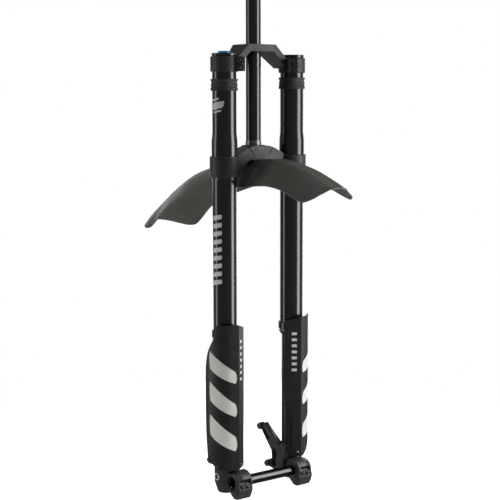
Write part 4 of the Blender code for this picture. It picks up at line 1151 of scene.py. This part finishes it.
def dress_nodes():
    """The CAD nodes that stay get their slot's material."""
    for node, obj in frame["nodes"].items():
        if obj.hide_render:
            continue
        for place in obj.material_slots:
            place.link = "OBJECT"
            place.material = MATERIALS[SLOT_OF[node]]


# ---- Studio ------------------------------------------------------------------------------------

HEADING = math.radians(36.14)  # the camera looks this far from +Y towards +X
FORWARD = Vector((math.sin(HEADING), math.cos(HEADING), 0))
RIGHTWARD = Vector((math.cos(HEADING), -math.sin(HEADING), 0))
AIM_POINT = Vector((0, 0, -0.18))
AMBIENT, BACKDROP = (0.17, 0.17, 0.166, 1), (1, 1, 1, 1)  # the world's light, and what the camera sees


def make_camera():
    data = bpy.data.cameras.new("camera")
    data.lens, data.sensor_width = 86.45, 36
    data.clip_end = 50
    camera = linked(bpy.data.objects.new("camera", data))
    pitch, roll = math.radians(6.874), math.radians(-0.107)
    turn = Matrix.Rotation(-HEADING, 4, "Z") @ Matrix.Rotation(math.pi / 2 - pitch, 4, "X")
    place = Matrix.Translation((-1.3452, -1.8304, 0.0744))
    camera.matrix_world = place @ turn @ Matrix.Rotation(roll, 4, "Z")
    bpy.context.scene.camera = camera


def softbox(name, toward, distance, size, power, height=0.0):
    """A rectangular lamp that stands off from the fork in a direction and faces it."""
    data = bpy.data.lights.new(name, "AREA")
    data.shape = "RECTANGLE"
    data.size, data.size_y = size
    data.energy = power
    lamp = linked(bpy.data.objects.new(name, data))
    toward = Vector(toward)
    at = AIM_POINT + toward * distance + UP * height
    level = RIGHTWARD if toward.z else toward.cross(UP)
    lamp.matrix_world = aim(at, at - AIM_POINT, level)
    lamp.visible_camera = False


def turned_from_camera(degrees):
    """A level direction, turned rightwards from the one that points at the camera."""
    angle = math.radians(degrees)
    return -FORWARD * math.cos(angle) + RIGHTWARD * math.sin(angle)


def make_studio():
    form = bmesh.new()
    bmesh.ops.create_circle(form, cap_ends=True, segments=96, radius=0.9)
    floor = from_form("floor", form, Matrix.Translation((0, 0, -0.662)))
    pale = surface(
        "pale_floor", (0.8, 0.8, 0.8), (0.83, 0.83, 0.83), (0.8, 0.9), grain=(40, 0.00002), mottle=2
    )
    glow = pale.node_tree.nodes["Principled BSDF"]
    glow.inputs["Emission Color"].default_value = (1, 1, 1, 1)
    glow.inputs["Emission Strength"].default_value = 0.9
    floor.data.materials.append(pale)
    floor.visible_glossy = False
    softbox("right_strip", turned_from_camera(78), 0.8, (0.4, 1.2), 11, 0.08)
    softbox("left_strip", turned_from_camera(-84), 0.75, (0.22, 1.2), 2.5, 0.08)
    softbox("back_left", turned_from_camera(-160), 1.4, (0.5, 1.3), 4, 0.1)
    softbox("back_right", turned_from_camera(152), 1.5, (0.4, 1.3), 4, 0.1)
    softbox("overhead", (0, 0, 1), 1.75, (2.0, 2.0), 8.5)

    world = bpy.data.worlds.new("studio")
    bpy.context.scene.world = world
    world.use_nodes = True
    nodes, links = world.node_tree.nodes, world.node_tree.links
    nodes.clear()
    output = nodes.new("ShaderNodeOutputWorld")
    path = nodes.new("ShaderNodeLightPath")
    mix = nodes.new("ShaderNodeMixShader")
    links.new(path.outputs["Is Camera Ray"], mix.inputs["Fac"])
    for socket, colour in ((1, AMBIENT), (2, BACKDROP)):
        shade = nodes.new("ShaderNodeBackground")
        shade.inputs["Color"].default_value = colour
        links.new(shade.outputs["Background"], mix.inputs[socket])
    links.new(mix.outputs["Shader"], output.inputs["Surface"])
    bpy.context.scene.view_settings.view_transform = "Standard"


def main():
    make_camera()
    make_studio()
    make_steerer()
    for label, side in SIDES.items():
        make_outer_tube(label, side)
        make_bumper(label, side)
        make_seals(label, side)
        make_stanchion(label, side)
        make_dropout(label, side)
        make_guard(label, side)
        make_graphics(label, side)
    make_caps()
    make_knobs()
    make_axle()
    make_upper_crown()
    make_lower_crown()
    make_badge()
    make_clip_screw()
    make_fender()
    dress_nodes()


main()
bpy.context.view_layer.update()
